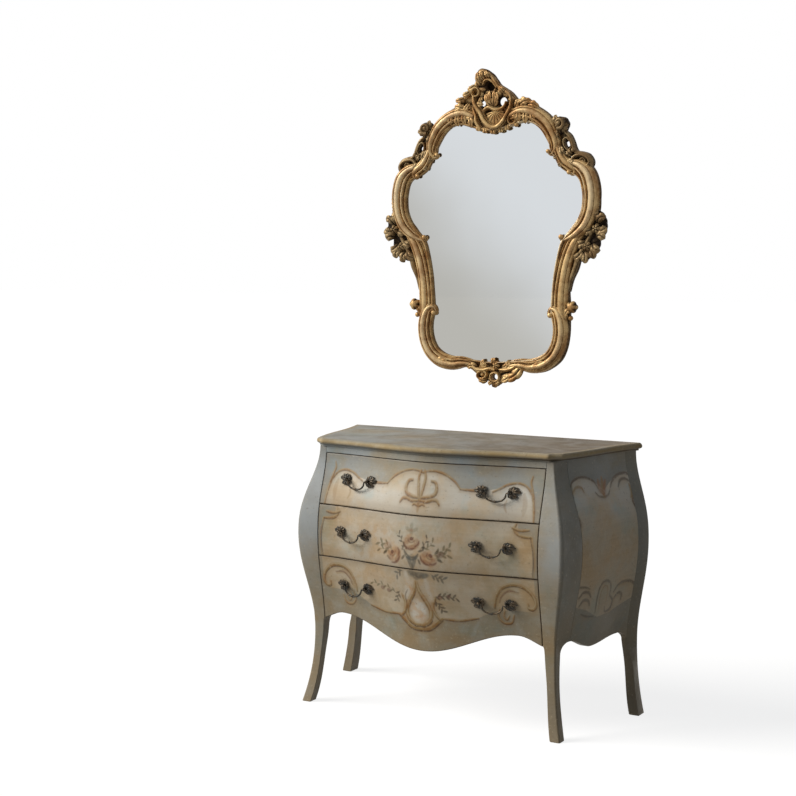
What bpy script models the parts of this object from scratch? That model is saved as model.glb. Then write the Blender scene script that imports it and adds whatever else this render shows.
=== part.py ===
"""A painted serpentine chest of three drawers on splayed legs, with a carved wall mirror hung above it.

Metres, +Z up, the chest faces -Y. Shapes are worked out in the chest's own frame: x = 0 on its centre line,
y = 0 at the back edge of its top board, z = 0 on the floor. One parent empty then carries everything to the
middle of the overall depth.
"""

import math

import bmesh
import bpy
from mathutils import Matrix, Vector

# Clearances
SEAT = 0.0003
CURVED_SEAT = 0.0006
LINE_GAP = 0.003
SIDE_GAP = 0.002
SLIDE_CLEARANCE = 0.0015

# Body of the chest, measured at the neck just under the top board
CHEST_HEIGHT = 0.900
TOP_THICKNESS = 0.026
TOP_OVERHANG = 0.016
TOP_CORNER_FULLNESS = 0.4
CORNER_HALF_WIDTH = 0.436
BACK_HALF_WIDTH = 0.540
BODY_DEPTH = 0.416
FRONT_BOW = 0.055
BACK_INSET = 0.004

# Outward swell of front and sides over the height
BELLY_HEIGHT = 0.580
BELLY_SWELL = 0.057
WAIST_HEIGHT = 0.250
WAIST_SWELL = 0.0145
FOOT_FLARE = 0.047
BACK_SWELL_LOSS = 0.15
FLARE_POWER = 2.1
NECK_POWER = 1.2
BOW_POWER = 0.9
SIDE_WAVE = 0.05

# Corner posts and the legs that they run down into
FRONT_POST_DEPTH = 0.054
BACK_POST_WIDTH = 0.042
BACK_POST_DEPTH = 0.055
FOOT_WIDTH = 0.035
ANKLE_WIDTH = 0.031
ANKLE_HEIGHT = 0.150
KNEE_WIDTH = 0.038
KNEE_HEIGHT = 0.294
KNEE_RISE = 0.040
BACK_LEG_STRETCH = 1.45
BACK_INNER_KNEE = 0.335
CORNER_ROUND = 0.006
BELLY_ROUND_SHARE = 0.15

# Boards of the carcass
SIDE_THICKNESS = 0.018
BACK_THICKNESS = 0.008
TOP_RAIL_HEIGHT = 0.022
TOP_RAIL_DEPTH = 0.045
DIVIDER_THICKNESS = 0.016
RUNNER_WIDTH = 0.040
BOTTOM_RISE = 0.028
BACK_PANEL_SKIRT = 0.020

# Heights of the two lines between the drawers, and the shaped lower edges
UPPER_LINE = 0.684
LOWER_LINE = 0.510
APRON_DROP_HEIGHT = 0.238
APRON_ARCH_HEIGHT = 0.318
APRON_ARCH_X = 0.325
APRON_END_HEIGHT = 0.286
SIDE_DROP_HEIGHT = 0.268
SIDE_DROP_Y = -0.257
SIDE_FRONT_ARCH_HEIGHT = 0.302
SIDE_FRONT_REACH = 0.109
SIDE_BACK_ARCH_HEIGHT = 0.284
SIDE_BACK_REACH = 0.148
SIDE_BACK_ROUND = 0.034
SIDE_BACK_TURN = 0.050
APRON_POWER = 1.05

# Drawers
DRAWER_HALF_WIDTH = 0.406
FRONT_THICKNESS = 0.022
BOX_SIDE_GAP = 0.012
BOX_WALL = 0.012
BOX_BOTTOM = 0.006
BOX_HEADROOM = 0.014
BOX_BACK_GAP = 0.024

# Pulls: two leaf rosettes with ball posts, and a bail that hangs between them
PULL_X = 0.2575
PULL_RISE = 0.005
PULL_SPAN = 0.090
ROSETTE_RADIUS = 0.0205
ROSETTE_HEIGHT = 0.0045
ROSETTE_LOBES = 6
ROSETTE_LOBE_DEPTH = 0.0025
POST_RADIUS = 0.0040
POST_FOOT_HEIGHT = 0.0072
BALL_RADIUS = 0.0056
BALL_TIP_DEGREES = 165
PIVOT_STANDOFF = 0.0200
BAIL_RADIUS = 0.0019
BAIL_DROP = 0.029
BAIL_SHOULDER = 0.0090
BAIL_FULLNESS = 0.8
BAIL_PIN_END = 0.0019
BORE_CLEARANCE = 0.0004

# Mirror: its wall plane stands behind the top board's back edge
WALL_GAP = 0.017
MIRROR_FOOT_HEIGHT = 1.056
GLASS_THICKNESS = 0.004
BACKBOARD_THICKNESS = 0.006
REBATE_WIDTH = 0.010
REBATE_CLEARANCE = 0.001
REBATE_DEPTH = 0.019
SIGHT_LIP = 0.007
FRAME_DEPTH = 0.042
FRAME_EDGE_DEPTH = 0.020
ORNAMENT_THICKNESS = 0.024
ORNAMENT_STANDOFF = 0.004
HANGER_WIDTH = 0.070
HANGER_HEIGHT = 0.034
HANGER_THICKNESS = 0.002
HANGER_DROP = 0.120
KEYHOLE_RADIUS = 0.0055
KEYHOLE_SLOT = 0.0025
KEYHOLE_RISE = 0.0120

# Right half of the frame from its top to its foot: sight edge x, height, outer edge x, height
FRAME_STATIONS = (
    (0.000, 0.874, 0.000, 0.936),
    (0.050, 0.882, 0.058, 0.944),
    (0.085, 0.891, 0.098, 0.967),
    (0.125, 0.900, 0.140, 0.963),
    (0.163, 0.890, 0.183, 0.942),
    (0.195, 0.866, 0.222, 0.909),
    (0.212, 0.832, 0.245, 0.864),
    (0.217, 0.806, 0.252, 0.824),
    (0.233, 0.782, 0.264, 0.795),
    (0.256, 0.756, 0.288, 0.766),
    (0.290, 0.730, 0.335, 0.742),
    (0.318, 0.712, 0.368, 0.724),
    (0.332, 0.682, 0.386, 0.689),
    (0.338, 0.644, 0.394, 0.641),
    (0.333, 0.604, 0.390, 0.594),
    (0.318, 0.569, 0.368, 0.551),
    (0.290, 0.536, 0.335, 0.504),
    (0.262, 0.506, 0.305, 0.454),
    (0.248, 0.464, 0.290, 0.407),
    (0.234, 0.394, 0.286, 0.344),
    (0.228, 0.335, 0.288, 0.305),
    (0.225, 0.298, 0.307, 0.288),
    (0.224, 0.270, 0.306, 0.268),
    (0.227, 0.245, 0.291, 0.244),
    (0.234, 0.206, 0.288, 0.194),
    (0.225, 0.159, 0.279, 0.144),
    (0.203, 0.127, 0.258, 0.102),
    (0.165, 0.107, 0.218, 0.072),
    (0.120, 0.101, 0.172, 0.059),
    (0.075, 0.096, 0.125, 0.072),
    (0.035, 0.092, 0.060, 0.066),
    (0.000, 0.090, 0.000, 0.062),
)

# Outlines of the carved ornaments beyond the frame's outer edge, anticlockwise, as x and height above the
# mirror's foot
CREST_OUTLINE = (
    (0.104, 0.988), (0.072, 1.004), (0.050, 1.020), (0.028, 1.040), (0.005, 1.054), (-0.020, 1.072),
    (-0.038, 1.085), (-0.057, 1.088), (-0.074, 1.080), (-0.080, 1.062), (-0.092, 1.046), (-0.108, 1.030),
    (-0.128, 1.006), (-0.140, 0.986), (-0.160, 0.972),
)
CREST_HOLES = ((0.030, 0.976, 0.009), (-0.042, 0.974, 0.008), (-0.014, 1.027, 0.008))
SHOULDER_OUTLINE = (
    (0.376, 0.736), (0.378, 0.760), (0.360, 0.782), (0.330, 0.790), (0.305, 0.789), (0.290, 0.809),
    (0.280, 0.834), (0.272, 0.854), (0.284, 0.870), (0.292, 0.890), (0.282, 0.908), (0.262, 0.916),
    (0.238, 0.914),
)
SHOULDER_HOLES = ((0.269, 0.828, 0.006), (0.332, 0.765, 0.009))
SPRAY_OUTLINE = (
    (0.319, 0.446), (0.336, 0.436), (0.356, 0.442), (0.376, 0.464), (0.398, 0.487), (0.419, 0.512),
    (0.429, 0.548), (0.422, 0.584), (0.403, 0.596),
)
SPRAY_HOLES = ((0.366, 0.492, 0.007),)
FOOT_OUTLINE = (
    (-0.104, 0.060), (-0.070, 0.046), (-0.038, 0.034), (-0.022, 0.012), (0.004, 0.000), (0.026, 0.012),
    (0.040, 0.034), (0.072, 0.046), (0.104, 0.060),
)
FOOT_HOLES = ((0.004, 0.038, 0.009),)

# Values worked out from the sizes above
NECK = CHEST_HEIGHT - TOP_THICKNESS
POST_INNER_X = DRAWER_HALF_WIDTH + SIDE_GAP
POST_BACK_Y = -(BODY_DEPTH - FRONT_POST_DEPTH)
BACK_FACE_Y = -BACK_INSET
BACK_POST_FRONT_Y = BACK_FACE_Y - BACK_POST_DEPTH
BACK_POST_INNER_X = BACK_HALF_WIDTH - BACK_POST_WIDTH
BACK_PANEL_FRONT_Y = BACK_FACE_Y - BACK_THICKNESS
TOP_LINE = NECK - TOP_RAIL_HEIGHT
BOTTOM_TOP = APRON_ARCH_HEIGHT + BOTTOM_RISE
BOX_HALF_WIDTH = DRAWER_HALF_WIDTH - BOX_SIDE_GAP
BORE_LENGTH = 4 * BALL_RADIUS
BOX_BACK_Y = BACK_PANEL_FRONT_Y - BOX_BACK_GAP
FRONT_REACH = BODY_DEPTH + FRONT_BOW + max(BELLY_SWELL, FOOT_FLARE)
DEPTH_CENTRE = (WALL_GAP - FRONT_REACH) / 2

# Drawer name, lower and upper line of its front, and the top of what it runs on
DRAWERS = (
    ("upper", UPPER_LINE, TOP_LINE, UPPER_LINE + DIVIDER_THICKNESS / 2),
    ("middle", LOWER_LINE, UPPER_LINE, LOWER_LINE + DIVIDER_THICKNESS / 2),
    ("lower", APRON_ARCH_HEIGHT, LOWER_LINE, BOTTOM_TOP),
)
SIDES = (("left", -1), ("right", 1))

# Mesh counts
FRONT_CELLS = 24
FRONT_ROWS = 6
SIDE_CELLS = 24
LEG_RINGS = 9
KNEE_RINGS = 8
STILE_RINGS = 18

PAINT = (0.52, 0.53, 0.46)
CREAM = (0.66, 0.60, 0.46)
RAW_WOOD = (0.42, 0.30, 0.18)
BRONZE = (0.10, 0.08, 0.06)
GILT = (0.52, 0.35, 0.14)
SILVERED = (0.80, 0.83, 0.84)
IRON = (0.22, 0.21, 0.20)


def mix(a, b, share):
    return a + (b - a) * share


def ease(t):
    """Half a cosine wave from 0 to 1."""
    return 0.5 - 0.5 * math.cos(math.pi * min(max(t, 0.0), 1.0))


def swell(z):
    """Outward swell of the body at a height: flared foot, narrow waist, full belly, nothing at the neck."""
    if z < WAIST_HEIGHT:
        return mix(WAIST_SWELL, FOOT_FLARE, (1 - max(z, 0.0) / WAIST_HEIGHT) ** FLARE_POWER)
    if z < BELLY_HEIGHT:
        return mix(WAIST_SWELL, BELLY_SWELL, ease((z - WAIST_HEIGHT) / (BELLY_HEIGHT - WAIST_HEIGHT)))
    rise = min((z - BELLY_HEIGHT) / (NECK - BELLY_HEIGHT), 1.0)
    return BELLY_SWELL * (1 - ease(rise ** NECK_POWER))


def bow(x):
    """Serpentine bow of the front in plan: one wave with its crest on the centre line."""
    return FRONT_BOW * (1 - ease(min(abs(x) / CORNER_HALF_WIDTH, 1.0) ** BOW_POWER))


def plan_y(x):
    """The front at the neck."""
    return -(BODY_DEPTH + bow(x))


def front_y(x, z):
    return plan_y(x) - swell(z)


def plan_x(y):
    """The side at the neck, widening to the back with a slight wave."""
    s = min(max((y + BODY_DEPTH) / BODY_DEPTH, 0.0), 1.0)
    return mix(CORNER_HALF_WIDTH, BACK_HALF_WIDTH, s + SIDE_WAVE * math.sin(2 * math.pi * s))


def side_x(y, z):
    s = min(max((y + BODY_DEPTH) / BODY_DEPTH, 0.0), 1.0)
    return plan_x(y) + swell(z) * (1 - BACK_SWELL_LOSS * s)


def quarter_round(t):
    """From 0 to 1 along a quarter of a circle, level at its start and upright at its end."""
    return 1 - math.sqrt(max(1 - t * t, 0.0))


def apron_z(x):
    """Lower edge of the bottom drawer: a drop at the middle, an arch, and a fall towards the leg."""
    reach = abs(x)
    if reach < APRON_ARCH_X:
        return mix(APRON_DROP_HEIGHT, APRON_ARCH_HEIGHT, ease((reach / APRON_ARCH_X) ** APRON_POWER))
    fall = (reach - APRON_ARCH_X) / (CORNER_HALF_WIDTH - APRON_ARCH_X)
    return mix(APRON_ARCH_HEIGHT, APRON_END_HEIGHT, ease(fall))


def side_apron_z(y):
    """Lower edge of the sides: a drop between two arches, the back one rounded down to its leg."""
    if y < SIDE_DROP_Y:
        return mix(SIDE_DROP_HEIGHT, SIDE_FRONT_ARCH_HEIGHT, ease((SIDE_DROP_Y - y) / SIDE_FRONT_REACH))
    turn = min(max(1 + (y - BACK_POST_FRONT_Y) / SIDE_BACK_TURN, 0.0), 1.0)
    arch = mix(SIDE_DROP_HEIGHT, SIDE_BACK_ARCH_HEIGHT, ease((y - SIDE_DROP_Y) / SIDE_BACK_REACH))
    return arch - SIDE_BACK_ROUND * quarter_round(turn)


def leg_width(z):
    """Side of the square leg: widest at the knee, least at the ankle."""
    if z < ANKLE_HEIGHT:
        return mix(FOOT_WIDTH, ANKLE_WIDTH, ease(z / ANKLE_HEIGHT))
    return mix(ANKLE_WIDTH, KNEE_WIDTH, ease((z - ANKLE_HEIGHT) / (KNEE_HEIGHT - ANKLE_HEIGHT)))


def knee_share(z, top):
    """How far a post has widened from its leg: a quarter-round that ends level at the given height."""
    return quarter_round(min(max(1 + (z - top) / KNEE_RISE, 0.0), 1.0))


def clear_scene():
    for existing in list(bpy.data.objects):
        bpy.data.objects.remove(existing, do_unlink=True)


def new_collection(name):
    collection = bpy.data.collections.new(name)
    bpy.context.scene.collection.children.link(collection)
    return collection


def new_empty(name, parent=None):
    empty = bpy.data.objects.new(name, None)
    PARTS.objects.link(empty)
    empty.parent = parent
    return empty


def finish(name, colour, roughness=0.6, metallic=0.0):
    material = bpy.data.materials.new(name + "_finish")
    material.use_nodes = True
    shader = material.node_tree.nodes["Principled BSDF"]
    shader.inputs["Base Color"].default_value = (*colour, 1.0)
    shader.inputs["Roughness"].default_value = roughness
    shader.inputs["Metallic"].default_value = metallic
    return material


def place(name, data, material, parent):
    """One named sub-part with its own material."""
    part = bpy.data.objects.new(name, data)
    data.materials.append(material)
    PARTS.objects.link(part)
    part.parent = parent
    return part


def mesh_from(name, bm, sharp_degrees=35):
    bmesh.ops.recalc_face_normals(bm, faces=bm.faces[:])
    if bm.calc_volume(signed=True) < 0:
        bmesh.ops.reverse_faces(bm, faces=bm.faces[:])
    mesh = bpy.data.meshes.new(name)
    bm.to_mesh(mesh)
    bm.free()
    mesh.shade_smooth()
    mesh.set_sharp_from_angle(angle=math.radians(sharp_degrees))
    return mesh


def shaped_board(name, cells, shape, material, parent):
    """A cube cut into cells, each of its points moved to shape(u, v, w) with u, v, w from 0 to 1."""
    bm = bmesh.new()
    bmesh.ops.create_cube(bm, size=1.0, matrix=Matrix.Translation((0.5, 0.5, 0.5)))
    for axis, count in enumerate(cells):
        normal = Vector((0, 0, 0))
        normal[axis] = 1.0
        for cut in range(1, count):
            geometry = bm.verts[:] + bm.edges[:] + bm.faces[:]
            bmesh.ops.bisect_plane(bm, geom=geometry, plane_co=normal * (cut / count), plane_no=normal)
    for vertex in bm.verts:
        vertex.co = shape(*vertex.co)
    return place(name, mesh_from(name, bm), material, parent)


def box(name, low, high, material, parent):
    def shape(u, v, w):
        return mix(low[0], high[0], u), mix(low[1], high[1], v), mix(low[2], high[2], w)

    return shaped_board(name, (1, 1, 1), shape, material, parent)


def loft_mesh(name, rings, ring_is_closed_path=False):
    """Skin through rings of equally many points, capped at both ends or joined end to end."""
    bm = bmesh.new()
    rows = [[bm.verts.new(point) for point in ring] for ring in rings]
    count = len(rows[0])
    pairs = list(zip(rows, rows[1:]))
    if ring_is_closed_path:
        pairs.append((rows[-1], rows[0]))
    else:
        bm.faces.new(rows[0])
        bm.faces.new(rows[-1])
    for row, following in pairs:
        for k in range(count):
            bm.faces.new((row[k], row[(k + 1) % count], following[(k + 1) % count], following[k]))
    return mesh_from(name, bm)


def flat_piece(name, outlines, thickness, middle_y, material, parent):
    """A flat outline with holes, standing upright: outlines hold x and z, the first one is the edge."""
    curve = bpy.data.curves.new(name, "CURVE")
    curve.dimensions = "2D"
    curve.fill_mode = "BOTH"
    curve.extrude = thickness / 2
    for outline in outlines:
        spline = curve.splines.new("POLY")
        spline.points.add(len(outline) - 1)
        for point, (x, z) in zip(spline.points, outline):
            point.co = (x, z, 0.0, 1.0)
        spline.use_cyclic_u = True
    part = place(name, curve, material, parent)
    part.rotation_euler = (math.pi / 2, 0, 0)
    part.location = (0, middle_y, 0)
    return part


def circle(x, z, radius, count=10):
    turn = 2 * math.pi / count
    return [(x + radius * math.cos(turn * k), z + radius * math.sin(turn * k)) for k in range(count)]


def top_outline(overhang):
    """Plan of the top board: the body's plan at the neck, moved out, with its front corners rounded off."""
    cut = TOP_OVERHANG
    side_steps = 8
    reach = CORNER_HALF_WIDTH - cut
    front = [mix(-reach, reach, k / FRONT_CELLS) for k in range(FRONT_CELLS + 1)]
    depths = [mix(-(BODY_DEPTH - cut), 0.0, k / side_steps) for k in range(side_steps + 1)]
    corner = math.sqrt(0.5) * (overhang + TOP_CORNER_FULLNESS * cut)
    points = [(x, plan_y(x) - overhang) for x in front]
    points.append((reach + corner, -(BODY_DEPTH - cut) - corner))
    points += [(plan_x(y) + overhang, y) for y in depths]
    points += [(-plan_x(y) - overhang, y) for y in reversed(depths)]
    points.append((-reach - corner, -(BODY_DEPTH - cut) - corner))
    return points


def build_top():
    """The top board with a rounded nose over a small cove; pairs are shares of thickness and of overhang."""
    edge = ((0.0, 0.20), (0.22, 0.30), (0.38, 0.80), (0.62, 1.0), (0.86, 0.80), (1.0, 0.45))
    rings = []
    for rise, share in edge:
        z = NECK + rise * TOP_THICKNESS
        rings.append([(x, y, z) for x, y in top_outline(share * TOP_OVERHANG)])
    place("top_board", loft_mesh("top_board", rings), finish("top_board", PAINT, 0.55), ROOT)


def front_post_ring(z, sign):
    """Section of a front post: square leg below the knee, corner stile with a rounded arris above it."""
    corner_x = CORNER_HALF_WIDTH + swell(z)
    corner_y = -(BODY_DEPTH + swell(z))
    front_knee = knee_share(z, apron_z(POST_INNER_X))
    side_knee = knee_share(z, SIDE_FRONT_ARCH_HEIGHT)
    width = leg_width(z)
    inner_x = mix(corner_x - width, POST_INNER_X, front_knee)
    inner_y = mix(corner_y, front_y(POST_INNER_X, z), front_knee)
    back_y = mix(corner_y + width, POST_BACK_Y, side_knee)
    back_x = mix(corner_x, side_x(POST_BACK_Y, z), side_knee)
    rounding = CORNER_ROUND + side_knee * BELLY_ROUND_SHARE * swell(z)
    ring = [(inner_x, back_y), (inner_x, inner_y)]
    for step in range(4):
        angle = math.radians(30 * step)
        x = corner_x - rounding * (1 - math.sin(angle))
        y = corner_y + rounding * (1 - math.cos(angle))
        ring.append((x, y))
    ring.append((back_x, back_y))
    return [(sign * x, y, z) for x, y in ring]


def back_post_ring(z, sign):
    """Section of a back post: square leg below the knee, flat-backed stile above it."""
    outer_x = side_x(BACK_FACE_Y, z)
    knee_top = SIDE_BACK_ARCH_HEIGHT - SIDE_BACK_ROUND
    knee = knee_share(z, knee_top)
    turn = ease((z - ANKLE_HEIGHT) / (knee_top - ANKLE_HEIGHT))
    width = leg_width(z)
    inner_x = mix(outer_x - width, BACK_POST_INNER_X, knee_share(z, BACK_INNER_KNEE))
    near_y = mix(BACK_FACE_Y - BACK_LEG_STRETCH * width, BACK_POST_FRONT_Y, knee)
    near_x = mix(outer_x, side_x(near_y, z), turn)
    ring = [(inner_x, BACK_FACE_Y), (inner_x, near_y), (near_x, near_y)]
    ring += [(outer_x, BACK_FACE_Y - CORNER_ROUND), (outer_x - CORNER_ROUND, BACK_FACE_Y)]
    return [(sign * x, y, z) for x, y in ring]


def build_posts():
    """Sections stacked from floor to neck, closest together round the knee."""
    kinds = (
        ("front", front_post_ring, SIDE_FRONT_ARCH_HEIGHT),
        ("back", back_post_ring, SIDE_BACK_ARCH_HEIGHT - SIDE_BACK_ROUND),
    )
    for side, sign in SIDES:
        for end, ring, top in kinds:
            name = f"{end}_{side}_post_and_leg"
            heights = [(top - KNEE_RISE) * k / LEG_RINGS for k in range(LEG_RINGS)]
            for k in range(KNEE_RINGS):
                heights.append(top - KNEE_RISE * (1 - math.sin(math.pi / 2 * k / KNEE_RINGS)))
            heights += [mix(top, NECK - SEAT, k / STILE_RINGS) for k in range(STILE_RINGS + 1)]
            mesh = loft_mesh(name, [ring(z, sign) for z in heights])
            place(name, mesh, finish(name, PAINT, 0.6), ROOT)


def build_sides():
    """Bent side panels between the posts, with a shaped lower edge."""
    for side, sign in SIDES:
        def shape(u, v, w):
            y = mix(POST_BACK_Y + SEAT, BACK_POST_FRONT_Y - SEAT, v)
            z = mix(side_apron_z(y), NECK - SEAT, w)
            return sign * (side_x(y, z) - SIDE_THICKNESS * (1 - u)), y, z

        name = f"{side}_side_panel"
        shaped_board(name, (1, SIDE_CELLS, 14), shape, finish(name, PAINT, 0.6), ROOT)


def build_rails():
    """Rails between the front posts, runners behind them, the bottom and the back."""
    half = POST_INNER_X - SEAT

    def top_rail(u, v, w):
        x = mix(-half, half, u)
        z = mix(TOP_LINE + LINE_GAP / 2, NECK - SEAT, w)
        return x, mix(front_y(x, z), plan_y(x) + TOP_RAIL_DEPTH, v), z

    shaped_board("top_rail", (FRONT_CELLS, 1, 1), top_rail, finish("top_rail", PAINT, 0.6), ROOT)

    for label, line in (("upper", UPPER_LINE), ("lower", LOWER_LINE)):
        low = line - DIVIDER_THICKNESS / 2
        high = line + DIVIDER_THICKNESS / 2

        def divider(u, v, w):
            x = mix(-half, half, u)
            near = plan_y(x) + FRONT_THICKNESS + SLIDE_CLEARANCE
            return x, mix(near, POST_BACK_Y, v), mix(low, high, w)

        name = f"{label}_divider_rail"
        shaped_board(name, (FRONT_CELLS, 1, 1), divider, finish(name, RAW_WOOD, 0.7), ROOT)
        for side, sign in SIDES:
            name = f"{label}_{side}_runner"
            inner = sign * (BOX_HALF_WIDTH - RUNNER_WIDTH / 2)
            outer = sign * (BOX_HALF_WIDTH + RUNNER_WIDTH / 2)
            near = (min(inner, outer), POST_BACK_Y + SEAT, low)
            far = (max(inner, outer), BACK_PANEL_FRONT_Y - SEAT, high)
            box(name, near, far, finish(name, RAW_WOOD, 0.7), ROOT)

    def bottom(u, v, w):
        x = mix(-half, half, u)
        near = plan_y(x) + FRONT_THICKNESS + SLIDE_CLEARANCE
        y = mix(near, BACK_PANEL_FRONT_Y - SEAT, v)
        return x, y, mix(BOTTOM_TOP - DIVIDER_THICKNESS, BOTTOM_TOP, w)

    shaped_board("bottom_panel", (FRONT_CELLS, 1, 1), bottom, finish("bottom_panel", RAW_WOOD, 0.7), ROOT)
    width = BACK_POST_INNER_X - SEAT
    foot = BOTTOM_TOP - DIVIDER_THICKNESS - BACK_PANEL_SKIRT
    low = (-width, BACK_PANEL_FRONT_Y, foot)
    box("back_panel", low, (width, BACK_FACE_Y, NECK - SEAT), finish("back_panel", RAW_WOOD, 0.75), ROOT)


def build_drawer(label, low_line, high_line, floor, carrier):
    """A swelled front, two sides and a back standing on a thin bottom."""
    top = high_line - LINE_GAP / 2
    box_low = floor + SEAT
    wall_low = box_low + BOX_BOTTOM + SEAT
    wall_high = high_line - DIVIDER_THICKNESS / 2 - BOX_HEADROOM

    def behind_front(x):
        return plan_y(x) + FRONT_THICKNESS + CURVED_SEAT

    def front(u, v, w):
        x = mix(-DRAWER_HALF_WIDTH, DRAWER_HALF_WIDTH, u)
        foot = apron_z(x) if label == "lower" else low_line + LINE_GAP / 2
        z = mix(foot, top, w)
        return x, mix(front_y(x, z), plan_y(x) + FRONT_THICKNESS, v), z

    name = f"{label}_drawer_front"
    shaped_board(name, (FRONT_CELLS, 1, FRONT_ROWS), front, finish(name, CREAM, 0.55), carrier)

    def bottom(u, v, w):
        x = mix(-BOX_HALF_WIDTH, BOX_HALF_WIDTH, u)
        return x, mix(behind_front(x), BOX_BACK_Y, v), mix(box_low, box_low + BOX_BOTTOM, w)

    name = f"{label}_drawer_bottom"
    shaped_board(name, (FRONT_CELLS, 1, 1), bottom, finish(name, RAW_WOOD, 0.7), carrier)

    for side, sign in SIDES:
        def wall(u, v, w):
            x = sign * mix(BOX_HALF_WIDTH - BOX_WALL, BOX_HALF_WIDTH, u)
            return x, mix(behind_front(x), BOX_BACK_Y, v), mix(wall_low, wall_high, w)

        name = f"{label}_drawer_{side}_side"
        shaped_board(name, (1, 1, 1), wall, finish(name, RAW_WOOD, 0.7), carrier)

    inside = BOX_HALF_WIDTH - BOX_WALL - SEAT
    name = f"{label}_drawer_back"
    near = (-inside, BOX_BACK_Y - BOX_WALL, wall_low)
    box(name, near, (inside, BOX_BACK_Y, wall_high), finish(name, RAW_WOOD, 0.7), carrier)


def rosette_rings(x0, z0):
    """A lobed leaf plate that follows the drawer front, its post and its ball, about the plate's own centre."""
    segments = 2 * ROSETTE_LOBES
    centre_y = front_y(x0, z0)
    neck = math.asin(POST_RADIUS / BALL_RADIUS)
    plate = ((0.0, 1.0), (0.5 * ROSETTE_HEIGHT, 1.0), (ROSETTE_HEIGHT, 0.6))
    rings = []
    for height, spread in plate:
        ring = []
        for k in range(segments):
            angle = 2 * math.pi * k / segments
            radius = spread * (ROSETTE_RADIUS - ROSETTE_LOBE_DEPTH * (k % 2))
            x = radius * math.cos(angle)
            z = radius * math.sin(angle)
            drop = front_y(x0 + x, z0 + z) - centre_y
            ring.append((x, drop - CURVED_SEAT - height, z))
        rings.append(ring)
    turned = [(POST_FOOT_HEIGHT, POST_RADIUS)]
    for k in range(6):
        angle = mix(neck, math.radians(BALL_TIP_DEGREES), k / 5)
        turned.append((PIVOT_STANDOFF - BALL_RADIUS * math.cos(angle), BALL_RADIUS * math.sin(angle)))
    for height, radius in turned:
        turn = 2 * math.pi / segments
        rings.append([(radius * math.cos(turn * k), -height, radius * math.sin(turn * k))
                      for k in range(segments)])
    return rings


def bore_cutter(name, centre, heading, carrier):
    bm = bmesh.new()
    lie_down = Matrix.Rotation(math.pi / 2, 4, "Y")
    radius = BAIL_RADIUS + BORE_CLEARANCE
    bmesh.ops.create_cone(bm, cap_ends=True, segments=12, radius1=radius, radius2=radius,
                          depth=BORE_LENGTH, matrix=lie_down)
    cutter = bpy.data.objects.new(name, mesh_from(name, bm))
    CUTTERS.objects.link(cutter)
    cutter.parent = carrier
    cutter.location = centre
    cutter.rotation_euler = (0, 0, heading)
    cutter.hide_render = True
    cutter.display_type = "WIRE"
    return cutter


def bail_points(half_span):
    """The bail in its own frame: a pin through one ball, a hanging sweep, the other pin."""
    reach = half_span - BAIL_SHOULDER
    tip = half_span + BALL_RADIUS + BAIL_PIN_END
    steps = 12
    points = [(-tip, 0.0, 0.0)]
    for k in range(steps + 1):
        angle = math.pi * k / steps
        points.append((-reach * math.cos(angle), 0.0, -BAIL_DROP * math.sin(angle) ** BAIL_FULLNESS))
    points.append((tip, 0.0, 0.0))
    return points


def build_pull(prefix, x, z, carrier):
    """Two rosettes with bored balls, and the bail whose origin lies on the line through the two bores."""
    slope = (plan_y(x + SIDE_GAP) - plan_y(x - SIDE_GAP)) / (2 * SIDE_GAP)
    half_run = PULL_SPAN / 2 * math.cos(math.atan(slope))
    ends = [x - half_run, x + half_run]
    balls = [Vector((end, front_y(end, z) - PIVOT_STANDOFF, z)) for end in ends]
    chord = balls[1] - balls[0]
    heading = math.atan2(chord.y, chord.x)
    for (side, _), end, ball in zip(SIDES, ends, balls):
        name = f"{prefix}_{side}_rosette"
        mesh = loft_mesh(name, rosette_rings(end, z))
        rosette = place(name, mesh, finish(name, BRONZE, 0.45, 0.9), carrier)
        rosette.location = (end, front_y(end, z), z)
        bore = rosette.modifiers.new("pivot_bore", "BOOLEAN")
        bore.operation = "DIFFERENCE"
        bore.object = bore_cutter(name + "_bore", ball, heading, carrier)
    name = f"{prefix}_bail"
    curve = bpy.data.curves.new(name, "CURVE")
    curve.dimensions = "3D"
    curve.bevel_depth = BAIL_RADIUS
    curve.bevel_resolution = 2
    curve.use_fill_caps = True
    spline = curve.splines.new("POLY")
    path = bail_points(chord.length / 2)
    spline.points.add(len(path) - 1)
    for point, place_on_path in zip(spline.points, path):
        point.co = (*place_on_path, 1.0)
    bail = place(name, curve, finish(name, BRONZE, 0.4, 0.9), carrier)
    bail.location = (balls[0] + balls[1]) / 2
    bail.rotation_euler = (0, 0, heading)


def build_drawers():
    for label, low_line, high_line, floor in DRAWERS:
        carrier = new_empty(f"{label}_drawer_slide", ROOT)
        build_drawer(label, low_line, high_line, floor, carrier)
        height = (low_line + high_line) / 2 + PULL_RISE
        for side, sign in SIDES:
            build_pull(f"{label}_drawer_{side}_pull", sign * PULL_X, height, carrier)


def frame_loop():
    """Stations all round the frame, clockwise from the top: sight point and outer point."""
    right = [((a, b), (c, d)) for a, b, c, d in FRAME_STATIONS]
    left = [((-a, b), (-c, d)) for a, b, c, d in FRAME_STATIONS[-2:0:-1]]
    return [(Vector(sight), Vector(outer)) for sight, outer in right + left]


def outer_edge(first, last):
    """The frame's outer edge between two stations, moved out by the seating gap."""
    loop = frame_loop()
    points = []
    for k in range(first, last + 1):
        sight, outer = loop[k % len(loop)]
        seated = outer + (outer - sight).normalized() * SEAT
        points.append((seated.x, seated.y))
    return points


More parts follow.
